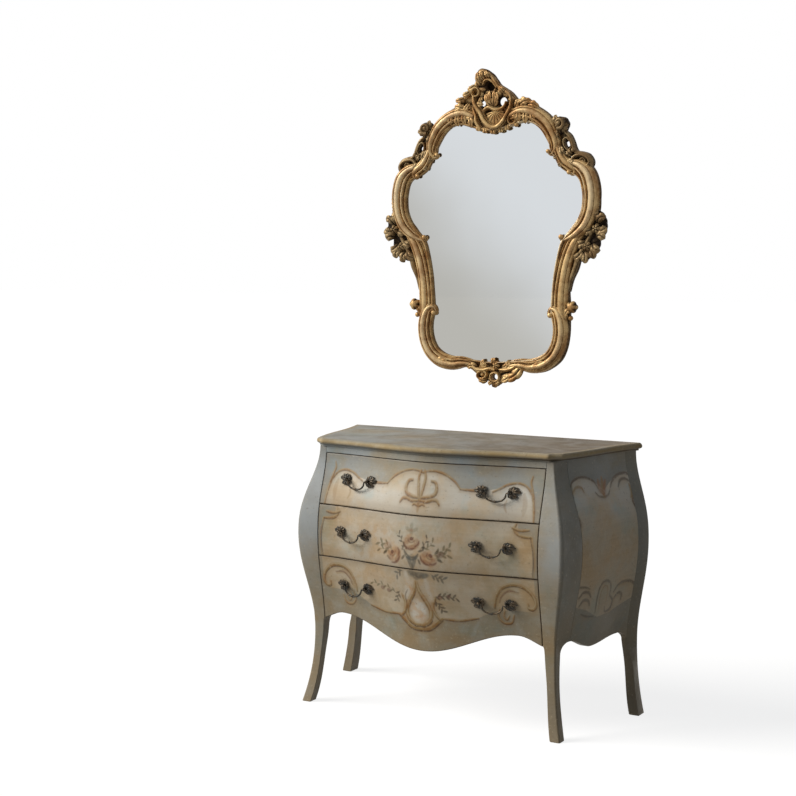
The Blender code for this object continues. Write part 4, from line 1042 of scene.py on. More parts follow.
def front_post_section(z):
    """Square leg below the knee, corner stile with a rounded arris above it: x and y for each height,
    then how far each line of it is rubbed, and how far it looks sideways."""
    corner = swell(z)
    corner_x = CORNER_HALF_WIDTH + corner
    corner_y = BACK_EDGE - BODY_DEPTH - corner
    front_knee = knee_share(z, apron_z(POST_INNER_X))
    side_knee = knee_share(z, SIDE_FRONT_ARCH_HEIGHT)
    width = leg_width(z)
    post_back = BACK_EDGE - BODY_DEPTH + FRONT_POST_DEPTH
    inner_x = mix(corner_x - width, POST_INNER_X, front_knee)
    inner_y = mix(corner_y, front_y(POST_INNER_X, z), front_knee)
    back_y = mix(corner_y + width, post_back, side_knee)
    back_x = mix(corner_x, side_x(post_back, z), side_knee)
    rounding = CORNER_ROUND + side_knee * BELLY_ROUND_SHARE * corner
    angle = np.linspace(0, np.pi / 2, 9)[None, :]
    arris_x = corner_x - rounding * (1 - np.sin(angle))
    arris_y = corner_y + rounding * (1 - np.cos(angle))
    soft = EDGE_ROUND
    x = np.hstack([inner_x + soft, inner_x, inner_x, inner_x + soft, arris_x, back_x, back_x - soft])
    y = np.hstack([back_y, back_y - soft, inner_y + soft, inner_y, arris_y, back_y - soft, back_y])
    edge = np.array([0.5, 0.5, 0.6, 0.6] + [0.75] * 9 + [0.4, 0.4])
    outer = np.concatenate([[0, 0, 0, 0], np.sin(angle[0]), [1, 1]])
    return x, y, edge, outer


def back_post_section(z):
    """Square leg below the knee, flat-backed stile above it, in the same four parts."""
    back_y = np.full_like(z, BACK_EDGE - BACK_INSET)
    outer_x = side_x(back_y, z)
    knee_top = SIDE_BACK_ARCH_HEIGHT - SIDE_BACK_ROUND
    knee = knee_share(z, knee_top)
    turn = ease((z - ANKLE_HEIGHT) / (knee_top - ANKLE_HEIGHT))
    width = leg_width(z)
    inner_x = mix(outer_x - width, BACK_HALF_WIDTH - BACK_POST_WIDTH, knee_share(z, BACK_INNER_KNEE))
    near_y = mix(back_y - BACK_LEG_STRETCH * width, back_y - BACK_POST_DEPTH, knee)
    near_x = mix(outer_x, side_x(near_y, z), turn)
    soft = EDGE_ROUND
    x = np.hstack([inner_x + soft, inner_x, inner_x, inner_x + soft, near_x - soft, near_x, outer_x,
                   outer_x - 0.3 * CORNER_ROUND, outer_x - CORNER_ROUND])
    y = np.hstack([back_y, back_y - soft, near_y + soft, near_y, near_y, near_y + soft,
                   back_y - CORNER_ROUND,
                   back_y - 0.3 * CORNER_ROUND, back_y])
    edge = np.array([0.5, 0.5, 0.6, 0.6, 0.6, 0.6, 0.7, 0.7, 0.5])
    outer = np.array([0, 0, 0, 0, 1, 1, 1, 1, 1])
    return x, y, edge, outer


def post_heights(knee_top):
    """Heights of a post's rings: close together over the bevelled foot and round the knee."""
    foot = FOOT_BEVEL * np.array([0.0, 0.5, 1.0])
    knee = knee_top - KNEE_RISE * (1 - np.sin(np.linspace(0, np.pi / 2, KNEE_RINGS)))
    leg = np.linspace(2 * FOOT_BEVEL, knee[0] - KNEE_MARGIN, LEG_RINGS)
    stile = np.linspace(knee_top + KNEE_MARGIN, NECK - SEAT, STILE_RINGS)
    return np.concatenate([foot, leg, knee, stile])[:, None]


def post_wear(z, edge, outer, shaded):
    """Shares of a post's paint: rubbed along the arrises, most on the legs; olive-brown glazing on the legs
    and under the top; olive-brown and dark teal painted shade where it looks sideways and on the right-hand
    legs;
    and a pale blue painted highlight over the belly, strongest on the left post."""
    low = 1 - ease((z - 0.05) / 0.3)
    belly = ease((z - 0.4) / 0.22) * (1 - 0.6 * ease((z - 0.78) / 0.09))
    neck = 0.2 * ease((z - 0.8) / 0.07)
    return {
        "rubbed": np.clip(edge * (0.25 + 0.7 * low), 0, 1),
        "glaze": 0.15 + mix(0.28, 0.4, shaded) * low + neck + SIDE_SHADE * outer,
        "cool": mix(0.85, 0.65, shaded) * belly * (1 - 0.6 * outer),
        "dusk": 0.36 * outer * (1 - low) + 0.26 * low * shaded,
    }


def build_posts():
    """Sections stacked from floor to neck, drawn in a little at the bevelled foot."""
    kinds = (("front", front_post_section, SIDE_FRONT_ARCH_HEIGHT),
             ("back", back_post_section, SIDE_BACK_ARCH_HEIGHT - SIDE_BACK_ROUND))
    for side, sign in SIDES:
        for end, section, knee_top in kinds:
            z = post_heights(knee_top)
            shrink = np.where(z < FOOT_BEVEL, mix(FOOT_BEVEL_SHARE, 1, z / FOOT_BEVEL), 1.0)
            x, y, edge, outer = section(z)
            middle = np.stack([x.mean(1), y.mean(1)], -1)[:, None]
            flat = middle + (np.stack([x, y], -1) - middle) * shrink[..., None]
            rings = np.stack([sign * flat[..., 0], flat[..., 1], np.broadcast_to(z, x.shape)], -1)
            piece = Piece()
            piece.tube(rings, **post_wear(z, edge, outer, shaded=0.5 + 0.5 * sign))
            node = f"{end}_{side}_post_and_leg"
            piece.make(f"{end}_{side}_painted_post", PAINT, "carcass", [node])


def top_plan(overhang):
    """Plan of the top board: the body's plan at the neck moved out, its front corners rounded off."""
    cut = TOP_OVERHANG
    reach = CORNER_HALF_WIDTH - cut
    x = np.linspace(-reach, reach, 121)
    y = np.linspace(BACK_EDGE - BODY_DEPTH + cut, BACK_EDGE, 41)
    front = np.stack([x, plan_y(x) - overhang], -1)
    right = np.stack([plan_x(y) + overhang, y], -1)
    mid = math.sqrt(0.5) * (overhang + 0.4 * cut)
    corner = np.array([[reach + mid, BACK_EDGE - BODY_DEPTH + cut - mid]])
    bend = spline(np.vstack([front[-1:], corner, right[:1]]), 11)[1:-1]
    half = np.vstack([bend, right])
    mirrored = half[::-1] * (-1, 1)
    return np.vstack([front, half, mirrored])


# Edge of the top board from the cove up round the nose: share of its height, share of its overhang
NOSE_RISE = np.array([0.0, 0.1, 0.2, 0.26, 0.3, 0.36, 0.44, 0.54, 0.64, 0.74, 0.84, 0.92, 0.97, 1.0])
NOSE_OUT = np.array([0.2, 0.22, 0.3, 0.46, 0.7, 0.86, 0.96, 1.0, 1.0, 0.95, 0.84, 0.7, 0.58, 0.45])

# Rings over the top: share of the way in to its middle, gilding, shade, rubbing and glaze
TOP_RINGS = (
    (0.008, 0.6, 0.0, 0.4, 0.3), (0.02, 0.4, 0.42, 0.7, 0.5), (0.036, 0.1, 0.42, 0.9, 0.7),
    (0.06, 0.0, 0.42, 0.8, 0.8), (0.12, 0.0, 0.42, 0.7, 0.8), (0.22, 0.0, 0.42, 0.6, 0.7),
)
TOP_MIDDLE_DEPTH = 0.23


def build_top():
    """Rings from the cove up round the nose and in over the top: gilded on the nose, painted shade in the
    cove, and darker to the right, where painted shade, glazing and rubbing grow, with a pale blue painted
    highlight on the left end."""
    inward, gold, dark, rub, dull = np.array(TOP_RINGS).T
    middle = np.array([0, BACK_EDGE - TOP_MIDDLE_DEPTH])
    rim = top_plan(NOSE_OUT[-1] * TOP_OVERHANG)
    nose = [top_plan(out * TOP_OVERHANG) for out in NOSE_OUT]
    plans = nose + [rim * (1 - share) + share * middle for share in inward]
    levels = np.append(mix(NECK, CHEST_HEIGHT, NOSE_RISE), np.full(len(inward), CHEST_HEIGHT))
    rings = np.stack([np.column_stack([plan, np.full(len(plan), z)]) for plan, z in zip(plans, levels)])
    gilded = np.append(0.95 * bump_at(NOSE_RISE, 0.66, 0.3) * (NOSE_RISE > 0.28), gold)[:, None]
    shade = np.append(0.75 * bump_at(NOSE_RISE, 0.22, 0.1), dark)[:, None]
    rubbed = np.append(np.full(len(nose), 0.35), rub)[:, None]
    glaze = np.append(np.full(len(nose), 0.2), dull)[:, None]
    # Towards the right end more painted shade, glazing and rubbing, darker as the light falls off; on the
    # left end a pale blue painted highlight
    right = ease((rings[..., 0] + 0.3) / 0.8)
    piece = Piece()
    piece.tube(rings, gilded=gilded, shade=shade * mix(0.0, 1.2, right),
               rubbed=rubbed * mix(0.4, 1.0, right), glaze=glaze * mix(0.55, 1.05, right),
               cool=0.35 * (1 - right) * (gilded < 0.3))
    piece.make("painted_top", TOP_PAINT, "carcass", ["top_board"], sharp=50)


def leaf(piece, base, tip, width, bend=0.15, relief=(0.014, 0.02), arch=0.006,
         lobes=4, thick=0.005, sign=1):
    """An acanthus leaf: half width is a sine hump notched into lobes that sweep forward, the section is a
    crown with a groove along its rib, and the underside follows it lower down."""
    t = np.linspace(0.0, 1.0, 6 * lobes + 5)[:, None]
    v = np.linspace(-1, 1, 9)[None, :]
    base, tip = np.asarray(base, float), np.asarray(tip, float)
    run = tip - base
    length = np.hypot(*run)
    side = np.array([-run[1], run[0]]) / length
    centre = base + run * t + side * (bend * length * np.sin(np.pi * t))
    heading = run + side * (bend * length * np.pi * np.cos(np.pi * t))
    heading = heading / np.linalg.norm(heading, axis=1, keepdims=True)
    square = np.stack([-heading[:, 1], heading[:, 0]], -1)
    lobe = np.abs(np.sin(np.pi * lobes * t))
    hump = np.sin(np.pi * np.clip(0.06 + 0.94 * t, 0, 1) ** 0.75) ** 0.7 + 0.03
    half = width * hump * (0.76 + 0.24 * lobe ** 0.7)
    forward = heading[:, None] * (0.45 * half * v ** 2)[..., None]
    spot = centre[:, None] + square[:, None] * (half * v)[..., None] + forward
    crown = 0.35 * half * (1 - v ** 2) - 0.3 * half * bump_at(v, 0, 0.16) + 0.12 * half * lobe * np.abs(v)
    upper = mix(relief[0], relief[1], t) + arch * np.sin(np.pi * t) + crown
    lower = upper - thick * (1 - 0.75 * np.abs(v))
    back = slice(-2, 0, -1)
    ring = np.concatenate([spot, spot[:, back]], 1)
    relief_ring = np.concatenate([upper, lower[:, back]], 1)
    notch = 0.55 * (1 - lobe) ** 2 * np.abs(v)
    # Dark toning and painted shade along the rib, in the notches, at the base and on the underside
    vein = 0.55 * bump_at(v, 0, 0.2) + notch + 0.45 * (1 - t) ** 3 + 0.2 * np.abs(v) ** 4
    hollow = np.concatenate([vein, np.full_like(lower[:, back], 0.5)], 1)
    piece.tube(np.stack([sign * ring[..., 0], ring[..., 1], relief_ring], -1), hollow=hollow)


def flat_backed(piece, spot, height, hollow, back_hollow, sign, **values):
    """A row of open sections, each closed by a flat back close to the wall."""
    back = np.ones((len(spot), 2))
    ring = np.concatenate([spot, spot[:, [-1, 0]]], 1)
    depth = np.concatenate([height, CARVING_BACK * back], 1)
    hollow = np.concatenate([hollow, back_hollow * back], 1)
    piece.tube(np.stack([sign * ring[..., 0], ring[..., 1], depth], -1), hollow=hollow, **values)


def scroll(piece, points, relief, reeds, count, sign=1):
    """A carved strap along a smooth path of (x, z, half width): a crowned section cut by reeds, flat
    behind."""
    path = spline(points, count)
    s = np.linspace(-1, 1, 15 + 6 * reeds)[None, :]
    half = path[:, 2:3]
    spot = path[:, None, :2] + across(path)[:, None] * (half * s)[..., None]
    crown = np.sqrt(np.clip(1 - (0.97 * s) ** 2, 0, 1)) ** 0.8
    groove = sum((bump_at(s, c, 0.11) for c in np.linspace(-0.62, 0.62, reeds)), 0 * s)
    full = np.clip(half / np.max(half), 0.25, 1) ** 0.6
    height = relief[0] + (relief[1] - relief[0]) * full * (crown - 0.17 * groove)
    # Dark toning and painted shade in the grooves between the reeds, along both edges and on the flat back
    dark = np.clip(0.75 * groove + 0.55 * bump_at(np.abs(s), 1.0, 0.16), 0, 1) + 0 * half
    flat_backed(piece, spot, height, dark, 0.7, sign)


def knob(piece, centre, radius, relief, sign=1, ribs=0):
    """A small carved ball or ribbed bud, a little flattened: circles of latitude about its axis out from
    the wall, waved by the ribs."""
    a = np.linspace(0.02, np.pi - 0.02, 12)[:, None]
    b = angles(8 * ribs or 16)[None, :]
    groove = (1 - np.abs(np.cos(0.5 * ribs * b))) * np.sin(a) ** 2
    reach = radius * np.sin(a) * (1 - 0.22 * groove)
    x = centre[0] + reach * np.cos(b)
    z = centre[1] + reach * np.sin(b)
    depth = relief + 0.85 * radius * np.cos(a) + 0 * b
    # Painted shade on the half towards the wall and in the rib grooves
    hollow = 0.9 * ease((a - 1.2) / 1.2) + 1.2 * groove + (0.15 if ribs else 0)
    piece.tube(np.stack([sign * x, z, depth], -1), hollow=hollow)


def curl(piece, centre, radius, start, turns, half, relief, sign=1):
    """A volute: a strap whose path winds in to a ball at the middle."""
    t = np.linspace(0, 1, 14)
    angle = start + 2 * np.pi * turns * t
    reach = radius * (1 - 0.72 * t)
    x, z = centre[0] + reach * np.cos(angle), centre[1] + reach * np.sin(angle)
    points = np.stack([x, z, mix(half, 0.6 * half, t)], -1)
    scroll(piece, points, (relief - 0.01, relief), reeds=1, count=60, sign=sign)
    knob(piece, centre, 0.42 * radius, relief - 0.004, sign)


def flower(piece, centre, radius, petals, relief, sign=1):
    """A blossom: radius and height wave with the angle, high at the petals' middles, with a ball at the
    heart."""
    r = np.linspace(0.02, 1, 12)[:, None]
    b = angles(12 * petals)[None, :]
    wave = np.abs(np.cos(0.5 * petals * b))
    reach = radius * r * (0.62 + 0.38 * wave ** 0.5 * r ** 0.5)
    petal = 0.42 * radius * np.sin(np.pi * r ** 0.8) * (0.45 + 0.55 * wave)
    top = relief + petal - 0.15 * radius * r ** 3
    rings = np.stack([sign * (centre[0] + reach * np.cos(b)), centre[1] + reach * np.sin(b), top], -1)
    under = rings[::-1].copy()
    under[..., 2] = relief - 0.35 * radius
    # Dark toning and painted shade between the petals, round the heart and underneath
    dark = 0.9 * (1 - wave) ** 1.5 + 0.6 * bump_at(r, 0.25, 0.15) + 0 * b
    piece.tube(np.concatenate([rings, under]), hollow=np.concatenate([dark, np.ones_like(dark)]))
    knob(piece, centre, 0.26 * radius, relief + 0.1 * radius, sign)


# Section of the main straps from the sight side outwards: place, height, and darkness that is dark toning
# and painted shade in the grooves and along the edges
STRAP_PLACE = (-1.0, -0.94, -0.86, -0.78, -0.71, -0.63, -0.52, -0.4, -0.31, -0.25, -0.17, -0.06, 0.1, 0.26,
               0.4, 0.5, 0.56, 0.62, 0.74, 0.86, 0.95, 1.0)
STRAP_HEIGHT = (0.4, 0.62, 0.7, 0.62, 0.48, 0.7, 0.9, 0.9, 0.74, 0.6,
                0.8, 0.95, 1.0, 1.0, 0.96, 0.86, 0.76, 0.84, 0.8, 0.66, 0.48, 0.28)
STRAP_DARK = (0.45, 0.15, 0.0, 0.2, 0.65, 0.25, 0.0, 0.0, 0.25, 0.55,
              0.2, 0.0, 0.0, 0.0, 0.0, 0.2, 0.5, 0.2, 0.0, 0.1, 0.3, 0.6)


def strap(piece, points, reach, sign, pale):
    """A main moulding along a smooth path of (x, z, half width): one cut section, lower where the strap
    narrows, its broad reed given a pale painted highlight over the first half of its run."""
    path = spline(points, STRAP_RINGS)
    s = np.array(STRAP_PLACE)[None, :]
    half = path[:, 2:3]
    spot = path[:, None, :2] + across(path)[:, None] * (-half * s)[..., None]
    full = np.clip(half / np.max(half), 0.2, 1) ** 0.45
    height = mix(STRAP_FOOT, reach, full * np.array(STRAP_HEIGHT)[None, :])
    dark = np.array(STRAP_DARK)[None, :] + 0 * half
    run = np.linspace(0, 1, STRAP_RINGS)[:, None]
    reed = bump_at(s, 0.2, 0.36) + 0.6 * bump_at(s, -0.46, 0.1)
    # Pale painted highlight along the broad reed
    worn = pale * (0.4 + 0.6 * bump_at(run, 0.36, 0.24)) * np.append(reed, [[0, 0]], 1)
    flat_backed(piece, spot, height, dark, 0.6, sign, pale=worn)


def rocaille(piece, outline, centre, hole, relief, flutes, sign=1, wash_and_shade=0.15):
    """A fluted shell plate: rings from its rim in to a hole or to its middle, crowned between, the flutes
    fanning out from the middle."""
    closed = np.vstack([outline, outline[:1]])
    rim = spline(closed, 10 * len(outline) + 1)[:-1]
    offset = rim - np.asarray(centre)
    reach = np.linalg.norm(offset, axis=1, keepdims=True)
    angle = np.arctan2(offset[:, 1], offset[:, 0])[None, :]
    inner = centre + offset / reach * max(hole, 0.0006)
    share = np.array([0.0, 0.0, 0.05, 0.14, 0.28, 0.44, 0.6, 0.76, 0.9, 0.97, 1.0])[:, None]
    wave = np.abs(np.cos(0.5 * flutes * angle))
    crown = np.sin(np.pi * (0.12 + (0.76 if hole else 0.4) * share)) ** 0.7
    flute = 0.42 * (1 - wave) ** 1.5 * np.sin(np.pi * np.clip(0.1 + 0.9 * share, 0, 1))
    height = mix(relief[0], relief[1], crown * (1 - flute))
    height[0] = PLATE_BACK
    # Painted shade round an opening and over its back, in the flutes and at the plate's foot, with dark
    # toning over the whole plate by the given share
    inmost = 0.7 * bump_at(share, 1.0, 0.22) * bool(hole)
    dark = np.clip(wash_and_shade + inmost + 0.75 * (1 - wave) ** 2 + 0.3 * bump_at(share, 0.0, 0.06), 0, 1)
    scallop = 1 + 0.05 * (wave - 0.6) * (share < 0.3)
    spot = inner[None] + (rim - inner)[None] * ((1 - share) * scallop)[..., None]
    rings = np.concatenate([spot, height[..., None]], -1)
    if hole:
        back = rings[-1:].copy()
        back[..., 2] = PLATE_BACK
        rings = np.concatenate([rings, back])
        dark = np.concatenate([dark, np.ones_like(dark[:1])])
    rings = rings * (sign, 1, 1)
    rows, columns = rings.shape[:2]
    first = np.arange(columns)
    caps = [] if hole else [first, first + (rows - 1) * columns]
    quads = skin(rows, columns, wrap_rows=bool(hole), wrap_columns=True)
    piece.add(rings, quads, caps, hollow=dark.reshape(-1))


def dark_eye(piece, centre, radius, relief, sign=1):
    """A small round plate, all dark, at the bottom of a hollow: painted shade where an opening would show
    shadow.
    """
    turn = angles(10)
    outline = np.stack([centre[0] + radius * np.cos(turn), centre[1] + radius * np.sin(turn)], -1)
    rocaille(piece, outline, centre, 0, relief, 6, sign, 1.0)


def on_wall(points):
    """Flat x, z and relief stood up against the wall plane."""
    return np.stack([points[:, 0], WALL_Y - points[:, 2], points[:, 1]], -1)


# Right half of the frame from its top to its foot: sight edge x, height, outer edge x, height above the
# mirror's foot
FRAME_STATIONS = np.array((
    (0.0, 0.874, 0.0, 0.936), (0.05, 0.882, 0.058, 0.944), (0.085, 0.891, 0.098, 0.967),
    (0.125, 0.9, 0.14, 0.963), (0.163, 0.89, 0.183, 0.942), (0.195, 0.866, 0.222, 0.909),
    (0.212, 0.832, 0.245, 0.864), (0.217, 0.806, 0.252, 0.824), (0.233, 0.782, 0.264, 0.795),
    (0.256, 0.756, 0.288, 0.766), (0.29, 0.73, 0.335, 0.742), (0.318, 0.712, 0.368, 0.724),
    (0.332, 0.682, 0.386, 0.689), (0.338, 0.644, 0.394, 0.641), (0.333, 0.604, 0.39, 0.594),
    (0.318, 0.569, 0.368, 0.551), (0.29, 0.536, 0.335, 0.504), (0.262, 0.506, 0.305, 0.454),
    (0.248, 0.464, 0.29, 0.407), (0.234, 0.394, 0.286, 0.344), (0.228, 0.335, 0.288, 0.305),
    (0.225, 0.298, 0.29, 0.288), (0.224, 0.27, 0.29, 0.268), (0.227, 0.245, 0.289, 0.244),
    (0.234, 0.206, 0.288, 0.194), (0.225, 0.159, 0.279, 0.144), (0.203, 0.127, 0.258, 0.102),
    (0.165, 0.107, 0.218, 0.072), (0.12, 0.101, 0.172, 0.059), (0.075, 0.096, 0.125, 0.072),
    (0.035, 0.092, 0.06, 0.066), (0.0, 0.09, 0.0, 0.062),
))

# Straps of the right half, as x, height above the floor and half width
TOP_ARC = ((0.07, 1.978, 0.02), (0.112, 1.99, 0.026), (0.158, 1.98, 0.028), (0.2, 1.95, 0.028),
           (0.226, 1.91, 0.026), (0.236, 1.876, 0.021), (0.228, 1.854, 0.013),
           (0.216, 1.85, 0.008), (0.209, 1.858, 0.005))
SHOULDER_BEND = ((0.24, 1.88, 0.014), (0.25, 1.85, 0.02), (0.268, 1.822, 0.023), (0.294, 1.803, 0.022),
                 (0.306, 1.791, 0.013), (0.298, 1.781, 0.008), (0.287, 1.784, 0.005))
SIDE_LOBE = ((0.262, 1.834, 0.009), (0.29, 1.817, 0.016), (0.324, 1.804, 0.024), (0.35, 1.778, 0.03),
             (0.363, 1.738, 0.031), (0.366, 1.7, 0.03), (0.36, 1.655, 0.029), (0.342, 1.616, 0.028),
             (0.314, 1.588, 0.024), (0.288, 1.572, 0.016), (0.27, 1.565, 0.011),
             (0.259, 1.568, 0.008), (0.259, 1.578, 0.005))
STEM = ((0.33, 1.59, 0.016), (0.3, 1.552, 0.025), (0.277, 1.495, 0.027), (0.262, 1.425, 0.028),
        (0.2565, 1.365, 0.03), (0.258, 1.315, 0.028), (0.264, 1.275, 0.02))
FOOT_BEND = ((0.223, 1.305, 0.005), (0.217, 1.315, 0.008), (0.227, 1.33, 0.013), (0.246, 1.322, 0.021),
             (0.258, 1.29, 0.027), (0.261, 1.25, 0.028), (0.252, 1.208, 0.028), (0.231, 1.172, 0.028),
             (0.195, 1.147, 0.028), (0.152, 1.138, 0.025), (0.114, 1.142, 0.02),
             (0.082, 1.14, 0.015), (0.06, 1.132, 0.01))


def build_frame():
    """A low moulding all round between sight and outer edge, with the raised straps of both halves over
    it."""
    half = FRAME_STATIONS.copy()
    loop = np.vstack([half, (half * (-1, 1, -1, 1))[-2:0:-1], half[:2]])
    path = spline(loop, FRAME_RINGS + FRAME_OVERLAP)[:-FRAME_OVERLAP]
    sight, outer = path[:, :2], path[:, 2:]
    width = np.linalg.norm(outer - sight, axis=1)[:, None]
    rebate = REBATE_WIDTH / width
    share = np.concatenate([np.linspace(0, 0.2, 9), np.linspace(0.26, 0.96, 10), [1.0]]) + 0 * width
    bead = SIGHT_BEAD * np.sin(np.pi * np.clip(share / 0.16, 0, 1))
    depth = mix(SIGHT_RELIEF, RIM_RELIEF, ease((share - 0.1) / 0.8)) + bead
    share = np.hstack([np.zeros_like(width), share, np.ones_like(width), rebate, rebate])
    ledge = np.full_like(width, REBATE_RELIEF)
    depth = np.hstack([ledge, depth, 0 * width, 0 * width, ledge])
    spot = sight[:, None] + (outer - sight)[:, None] * share[..., None]
    rings = np.stack([spot[..., 0], MIRROR_FOOT + spot[..., 1], depth], -1)
    # Dark toning and painted shade over the low moulding, less on the sight lip and the bead
    hollow = np.where(share < 0.03, 0.35, 0.65 - 0.6 * bump_at(share, 0.08, 0.06))
    # Pale painted highlight on the sight bead of the right half, whose inner face turns to the light
    rubbed = 0.9 * bump_at(share, 0.04, 0.07) * ease(0.5 + sight[:, :1] / 0.1)
    rows, columns = share.shape
    piece = Piece(on_wall)
    quads = skin(rows, columns, wrap_rows=True, wrap_columns=True)
    piece.add(rings, quads, hollow=hollow.reshape(-1), pale=rubbed.reshape(-1))
    for _, sign in SIDES:
        # The left half's straps carry more pale painted highlight, as they face the light
        for points, reach, pale in ((STEM, 0.036, 0.1), (SHOULDER_BEND, 0.039, 0.1), (TOP_ARC, 0.042, 0.2),
                                    (SIDE_LOBE, 0.043, 0.7), (FOOT_BEND, 0.042, 0.3)):
            strap(piece, points, reach, sign, pale if sign > 0 else 0.25 + 0.75 * pale)
        for spot, radius in (((0.212, 1.857), 0.0075), ((0.289, 1.786), 0.008),
                             ((0.262, 1.573), 0.009), ((0.224, 1.311), 0.009)):
            knob(piece, spot, radius, 0.03, sign)
        knob(piece, (0.302, 1.34), 0.021, 0.022, sign, ribs=5)
        knob(piece, (0.295, 1.303), 0.009, 0.018, sign)
        leaf(piece, (0.272, 1.296), (0.296, 1.334), 0.012, 0.1, (0.018, 0.026), 0.006, 2, sign=sign)
        leaf(piece, (0.226, 1.15), (0.146, 1.117), 0.013, -0.12, (0.03, 0.03), 0.005, 5, sign=sign)
        for base, tip in (((0.104, 1.992), (0.101, 1.957)), ((0.128, 1.994), (0.127, 1.951)),
                          ((0.15, 1.988), (0.16, 1.955))):
            leaf(piece, base, tip, 0.012, 0.05, (0.032, 0.028), 0.006, 3, sign=sign)
        rim = spline(FRAME_STATIONS[11:15, 2:] + (0, MIRROR_FOOT), 12)
        for k in range(1, 11):
            leaf(piece, rim[k] + (-0.006, -0.004), rim[k] + (0.001, 0.012),
                 0.006, 0.0, (0.018, 0.022), 0.004, 2, sign=sign)
    piece.make("gilt_frame", GILDING, "mirror", ["mirror_frame"], sharp=60)


def oval(centre, reach, tilt, half):
    """A closed path of (x, z, half width) round a tilted ellipse."""
    turn = np.linspace(0, 2 * np.pi, 15)
    u, v = reach[0] * np.cos(turn), reach[1] * np.sin(turn)
    c, s = math.cos(tilt), math.sin(tilt)
    return np.stack([centre[0] + c * u - s * v, centre[1] + s * u + c * v, np.full(15, half)], -1)


